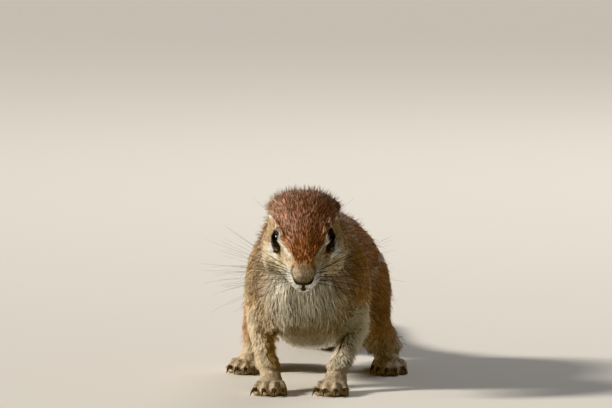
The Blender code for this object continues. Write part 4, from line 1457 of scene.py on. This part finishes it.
# The crescent lies just proud of the skin, thin in the middle and at its ends, and thick at the nostrils.
nose_line = through(NOSE_PATH, NOSE_STATIONS)
near_nose = np.linalg.norm(points - nose_middle, axis=1) < NOSE_NEAR
skin_near, outward_near = points[near_nose], normals[near_nose]
nearest = np.argmin(np.linalg.norm(body_place(nose_line)[:, None] - skin_near[None], axis=2), axis=1)
nose_line = face_place(skin_near[nearest] + NOSE_PROUD * outward_near[nearest])
for _ in range(6):
    nose_line[1:-1] = (nose_line[:-2] + 2 * nose_line[1:-1] + nose_line[2:]) / 4
along = np.linspace(-1, 1, NOSE_STATIONS)
at_nostrils = np.exp(-(((np.abs(along) - 0.55) / 0.2) ** 2))
at_middle = np.exp(-((along / 0.30) ** 2))
nose_radii = 0.24 + 0.26 * at_nostrils + 0.14 * at_middle
nose_radii = nose_radii * np.sqrt(np.clip(1.02 - along**6, 0, 1))
nose_points, nose_triangles = tube(nose_line, nose_radii, 20)
nose_points = body_place(nose_points)
nose = linked("rhinarium", triangle_mesh("rhinarium", nose_points, oriented(nose_points, nose_triangles)))
nose.data.shade_smooth()
nose.data.materials.append(grained_material("nose leather", (0.030, 0.021, 0.018), 0.48, 0.35, 0.7, 0.8))
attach(nose, "root")

nostril_leather = grained_material("nostril", (0.004, 0.003, 0.003), 0.7, 0.3, 0.5, 0.3)
for side_name, first in NOSTRIL_STARTS:
    slit = body_place(nose_line[first : first + NOSTRIL_STATIONS] + NOSTRIL_SHIFT)
    slit_radii = NOSTRIL_RADIUS * np.sin(np.linspace(0.15, math.pi - 0.15, NOSTRIL_STATIONS)) ** 0.5
    slit_points, slit_triangles = tube(slit, slit_radii, 10)
    mesh = triangle_mesh(f"nostril_{side_name}", slit_points, oriented(slit_points, slit_triangles))
    mesh.shade_smooth()
    mesh.materials.append(nostril_leather)
    nostril = linked(mesh.name, mesh)
    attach(nostril, "root")

# --- Ears -------------------------------------------------------------------------------------------------
# The ears are low cupped rims of skin at the sides of the head, dark inside, with a nap of very short hair.
# Each is a thin bowl, set a little into the side of the head.

EAR_LONG, EAR_HIGH = 4.2, 3.6
EAR_BOWL, EAR_WALL = 1.5, 0.38
EAR_SUNK = 0.9
EAR_INWARD, EAR_DOWN = 2.7, 0.9
EAR_FACING = (0.93, -0.30, 0.20)
EAR_FOLDS, EAR_TURNS = 29, 48
EAR_NAP_LENGTH, EAR_NAP_WIDTH = 1.0, 0.2


def ear_surface(middle, outward, back, upward):
    """A closed thin bowl over turn and fold, which runs from the bowl's floor over its rim to its back."""
    turn = np.linspace(0, 2 * math.pi, EAR_TURNS, endpoint=False)[None, :]
    fold = np.linspace(0.02, math.pi - 0.02, EAR_FOLDS)[:, None]
    far = np.sin(fold) ** 0.8
    egg = 1 + 0.10 * np.cos(turn - 0.6)
    rise = EAR_BOWL * far**2 * (0.55 + 0.45 * np.cos(turn - 2.6)) + EAR_WALL * np.cos(fold)
    points = (
        middle
        + (EAR_LONG * far * egg * np.cos(turn))[..., None] * back
        + (EAR_HIGH * far * egg * np.sin(turn))[..., None] * upward
        + (rise - EAR_SUNK)[..., None] * outward
    )
    count = EAR_FOLDS * EAR_TURNS
    around = np.arange(EAR_TURNS)
    after = (around + 1) % EAR_TURNS
    last = count - EAR_TURNS
    floor_cap = np.stack([np.full(EAR_TURNS, count), around, after], 1)
    back_cap = np.stack([np.full(EAR_TURNS, count + 1), last + after, last + around], 1)
    points = np.vstack([points.reshape(-1, 3), points[0].mean(0), points[-1].mean(0)])
    return points, oriented(points, np.vstack([grid_triangles(EAR_FOLDS, EAR_TURNS), floor_cap, back_cap]))


for side_name, side in SIDES:
    outward = unit(np.array(EAR_FACING) * (side, 1.0, 1.0)) @ HEAD_AXES
    back = unit(HEAD_AXES[1] - (HEAD_AXES[1] @ outward) * outward)
    upward = np.cross(outward, back) * side
    middle = box_middle(f"ear_{side_name}") - EAR_INWARD * outward - EAR_DOWN * upward
    ear_points, ear_triangles = ear_surface(middle, outward, back, upward)
    ear_normals = point_normals(ear_points, ear_triangles)
    rim = np.linalg.norm(ear_points - middle, axis=1) / EAR_HIGH
    ear_colour = mixed(np.tile(UMBER, (len(ear_points), 1)), BUFF, 0.7 * smoothstep(0.75, 1.05, rim))
    mesh = triangle_mesh(f"pinna_{side_name}", ear_points, ear_triangles)
    # The bowl is painted darker than its nap, as the shade under the nap.
    dye(mesh, 0.7 * ear_colour)
    mesh.shade_smooth()
    mesh.materials.append(COAT_MATERIALS["ear"])
    pinna = linked(mesh.name, mesh)
    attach(pinna, "root")
    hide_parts(f"ear_{side_name}")

    # The nap is thickest on the rim and lies backwards and up.
    density = 2.0 + 15.0 * smoothstep(0.6, 0.9, rim)
    at_roots = scattered(ear_points, ear_triangles, density, random)
    roots, facing, tint = at_roots(ear_points), unit(at_roots(ear_normals)), at_roots(ear_colour)
    ways = unit(roots - middle + 2.5 * upward + 1.5 * back)
    ways = unit(along_skin(ways, facing) + 0.25 * random.normal(size=roots.shape))
    lengths = EAR_NAP_LENGTH * random.uniform(0.6, 1.2, len(roots))[:, None]
    bend = roots + 0.5 * lengths * (ways + 0.35 * facing)
    tips = roots + lengths * (ways + 0.15 * facing)
    path = np.stack([roots - 0.05 * facing, bend, tips], axis=1)
    tint = tint * np.exp(0.2 * random.normal(size=len(roots)))[:, None]
    widths = EAR_NAP_WIDTH * random.uniform(0.7, 1.2, len(roots))[:, None]
    # Each hair of the nap is painted dark at its root, as shade deep in the nap, and paler at its tip.
    dyes = np.stack([0.5 * tint, tint, 1.2 * tint], axis=1)
    unwrap = round_unwrap(roots, middle, outward)
    coat_piece(f"coat_ear_{side_name}", "ear", path, widths, facing, dyes, unwrap)

# --- Tail brush -------------------------------------------------------------------------------------------
# The tail is a flat brush of long stiff hairs banded with black and white, so that it is grizzled along its
# middle and has a black band and a white fringe along both edges.  They leave the tail's core sideways and
# sweep back until they fill the brush's outline.

BRUSH_TUFTS = 15000
BRUSH_SWEEP = (16.0, 36.0)
BRUSH_INSIDE = 14.0
BRUSH_WIDTH = 0.55
BRUSH_SHADE = np.array([1.0, 0.93, 0.80])
BAND_STATIONS = np.array([0.0, 0.30, 0.62, 1.0])
TOP_BANDS = np.array([0.80, 0.06, 0.60, 0.16])
EDGE_BANDS = np.array([0.80, 0.80, 0.04, 0.95])
TIP_BAND = 0.85
TIP_FADE = (40.0, 8.0)
TIP_REACH, TIP_HALF = np.array([-0.3, 3.9, 0.0]), np.array([2.4, 1.6])


def tail_at(length_along):
    """The brush's centre, half width and half height at places along Y."""
    line = np.vstack([tail_line, tail_line[-1:] + TIP_REACH])
    half = np.vstack([tail_half, TIP_HALF])
    across, height, half_width, half_height = (
        np.interp(length_along, line[:, 1], column)
        for column in (line[:, 0], line[:, 2], half[:, 0], half[:, 1])
    )
    return np.stack([across, length_along, height], axis=1), half_width, half_height


# Where each hair leaves the core, round it and along it, and where its tip lies in the brush's outline.
tail_start, tail_end = tail_line[0, 1], tail_line[-1, 1] + TIP_REACH[1]
hair_number = np.arange(BRUSH_TUFTS) + random.random(BRUSH_TUFTS)
brush_length = 0.97 * (tail_end - tail_start) + BRUSH_INSIDE
begin = tail_start - BRUSH_INSIDE + brush_length * hair_number / BRUSH_TUFTS
sweep = random.uniform(*BRUSH_SWEEP, BRUSH_TUFTS)
finish = begin + sweep * (1 - np.exp(-(tail_end - begin) / sweep))
turn = random.uniform(0, 2 * math.pi, BRUSH_TUFTS)
turn = turn - 0.30 * np.sin(2 * turn)
centre, _, _ = tail_at(begin)
end_centre, end_wide, end_high = tail_at(finish)
core = np.interp(begin, core_line[:, 1], core_radii)
spread = 1 - 0.45 * random.random(BRUSH_TUFTS) ** 1.6
at_end = smoothstep(tail_end - TIP_FADE[0], tail_end - TIP_FADE[1], begin)
spread = spread + at_end * (np.sqrt(random.random(BRUSH_TUFTS)) - spread)

# Each hair is a quadratic curve from the core through a control point to its tip.
outward = np.stack([np.cos(turn), 0 * turn, np.sin(turn)], axis=1)
starts = centre + 0.8 * core[:, None] * outward
rim = np.stack([end_wide * np.cos(turn), 0 * turn, end_high * np.sin(turn)], axis=1)
ends = end_centre + spread[:, None] * rim
bow = 0.22 * np.linalg.norm(ends - starts, axis=1)[:, None] * outward * np.array([1.0, 0.0, 0.5])
control = starts + 0.35 * (ends - starts) + bow
t = BAND_STATIONS[None, :, None]
path = (1 - t) ** 2 * starts[:, None] + 2 * t * (1 - t) * control[:, None] + t**2 * ends[:, None]

# The bands: those of the top and underside in the middle, those of the edges at the sides, pale at the end.
on_edge = smoothstep(0.55, 0.85, np.abs(np.cos(turn)) + 0.15 * random.normal(size=BRUSH_TUFTS))[:, None]
shade = (TOP_BANDS + on_edge * (EDGE_BANDS - TOP_BANDS)) * random.uniform(0.7, 1.15, (BRUSH_TUFTS, 1))
shade = shade + at_end[:, None] * (TIP_BAND - shade)
tint = shade[:, :, None] * BRUSH_SHADE
tint[:, 0] = np.array(BUFF) * 0.8
facing = unit(outward * (0.6, 0.0, 1.0) + (0, -0.15, 0.05) + at_end[:, None] * (0, 0.8, 0.2))
widths = BRUSH_WIDTH * random.uniform(0.7, 1.2, BRUSH_TUFTS)[:, None] * np.array([0.95, 0.9])
unwrap = [turn / (2 * math.pi) % 1.0, (begin - begin.min()) / (tail_end - begin.min())]
unwrap = np.stack(unwrap, axis=1)
near_rump = begin < (tail_start + tail_end) / 2
for name, rows in (("coat_tail_root", near_rump), ("coat_tail_tip", ~near_rump)):
    coat_piece(name, "tail_fur", path[rows], widths[rows], facing[rows], tint[rows], unwrap[rows])

# --- Whiskers ---------------------------------------------------------------------------------------------
# The whiskers are stiff dark hairs in rows on the pads beside the nose, with a few over the eyes and on the
# cheeks.  They fan out sideways, curve back and down, and taper to nothing.

WHISKER_ROWS = 4
WHISKERS_IN_ROW = 7
BROW_WHISKERS = 2
CHEEK_WHISKERS = 3
WHISKER_RADIUS, WHISKER_TIP = 0.08, 0.02
WHISKER_SPAN = 49.0
WHISKER_STATIONS = 13


def whisker_line(start, way, length, droop):
    """A bow from its start along a direction, sagging and bending back by the square of the distance."""
    t = np.linspace(0, 1, WHISKER_STATIONS)[:, None]
    return np.array(start) + length * (t * unit(np.array(way)) + t**2 * np.array(droop))


def whisker(line):
    """A tapering tube along a line on the head, shrunk towards its root where it passes the widest span."""
    line = body_place(line)
    over = np.abs(line[:, 0]).max() / WHISKER_SPAN
    if over > 1:
        line = line[0] + (line - line[0]) / over
    tube_points, tube_triangles = tube(line, np.linspace(WHISKER_RADIUS, WHISKER_TIP, len(line)), 5)
    return tube_points, oriented(tube_points, tube_triangles)


lines = []
for _, side in SIDES:
    flip = (side, 1.0, 1.0)
    for row in range(WHISKER_ROWS):
        for place_in_row in range(WHISKERS_IN_ROW):
            # u runs back along a row, and v down from row to row.
            u, v = place_in_row / (WHISKERS_IN_ROW - 1), row / (WHISKER_ROWS - 1)
            start = (5.6 + 1.6 * u - 0.4 * v, 2.0 + 6.5 * u, 1.8 - 4.6 * v)
            way = (1.0, 0.10 + 0.30 * u, 0.42 - 0.75 * v + 0.15 * random.normal())
            length = (20.0 + 24.0 * math.sin(math.pi * (0.25 + 0.55 * u))) * random.uniform(0.8, 1.05)
            droop = (-0.10, 0.20 + 0.1 * random.random(), -0.16 - 0.12 * random.random())
            lines.append(whisker_line(start, way, length, droop) * flip)
    for k in range(BROW_WHISKERS):
        start = EYE_PLACE + (0.6 + 0.6 * k, 1.0 + 2.4 * k, 5.6)
        way = (0.5 + 0.1 * k, 0.1, 0.8 - 0.1 * k)
        lines.append(whisker_line(start, way, 13.0 + 1.5 * k, (0.15, 0.25, -0.05)) * flip)
    for k in range(CHEEK_WHISKERS):
        start = (13.0, 19.0 + 4.0 * k, -7.0)
        lines.append(whisker_line(start, (1.0, 0.35, -0.15 * k), 17.0, (-0.05, 0.2, -0.2)) * flip)
whiskers = linked("whiskers", triangle_mesh("whiskers", *joined([whisker(line) for line in lines])))
whiskers.data.materials.append(grained_material("whisker", (0.022, 0.015, 0.010), 0.4, 1.5, 0.8, 0.0))
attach(whiskers, "root")

# --- Claws ------------------------------------------------------------------------------------------------
# The claws are long, nearly straight digging nails of dark horn, one on each toe.  They are the CAD solids
# themselves, in a finish of their own.

horn = grained_material("horn", (0.060, 0.042, 0.030), 0.36, 0.9, 1.1, 0.35)
for name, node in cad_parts.items():
    if name.startswith("claw_"):
        node.data.materials.clear()
        node.data.materials.append(horn)
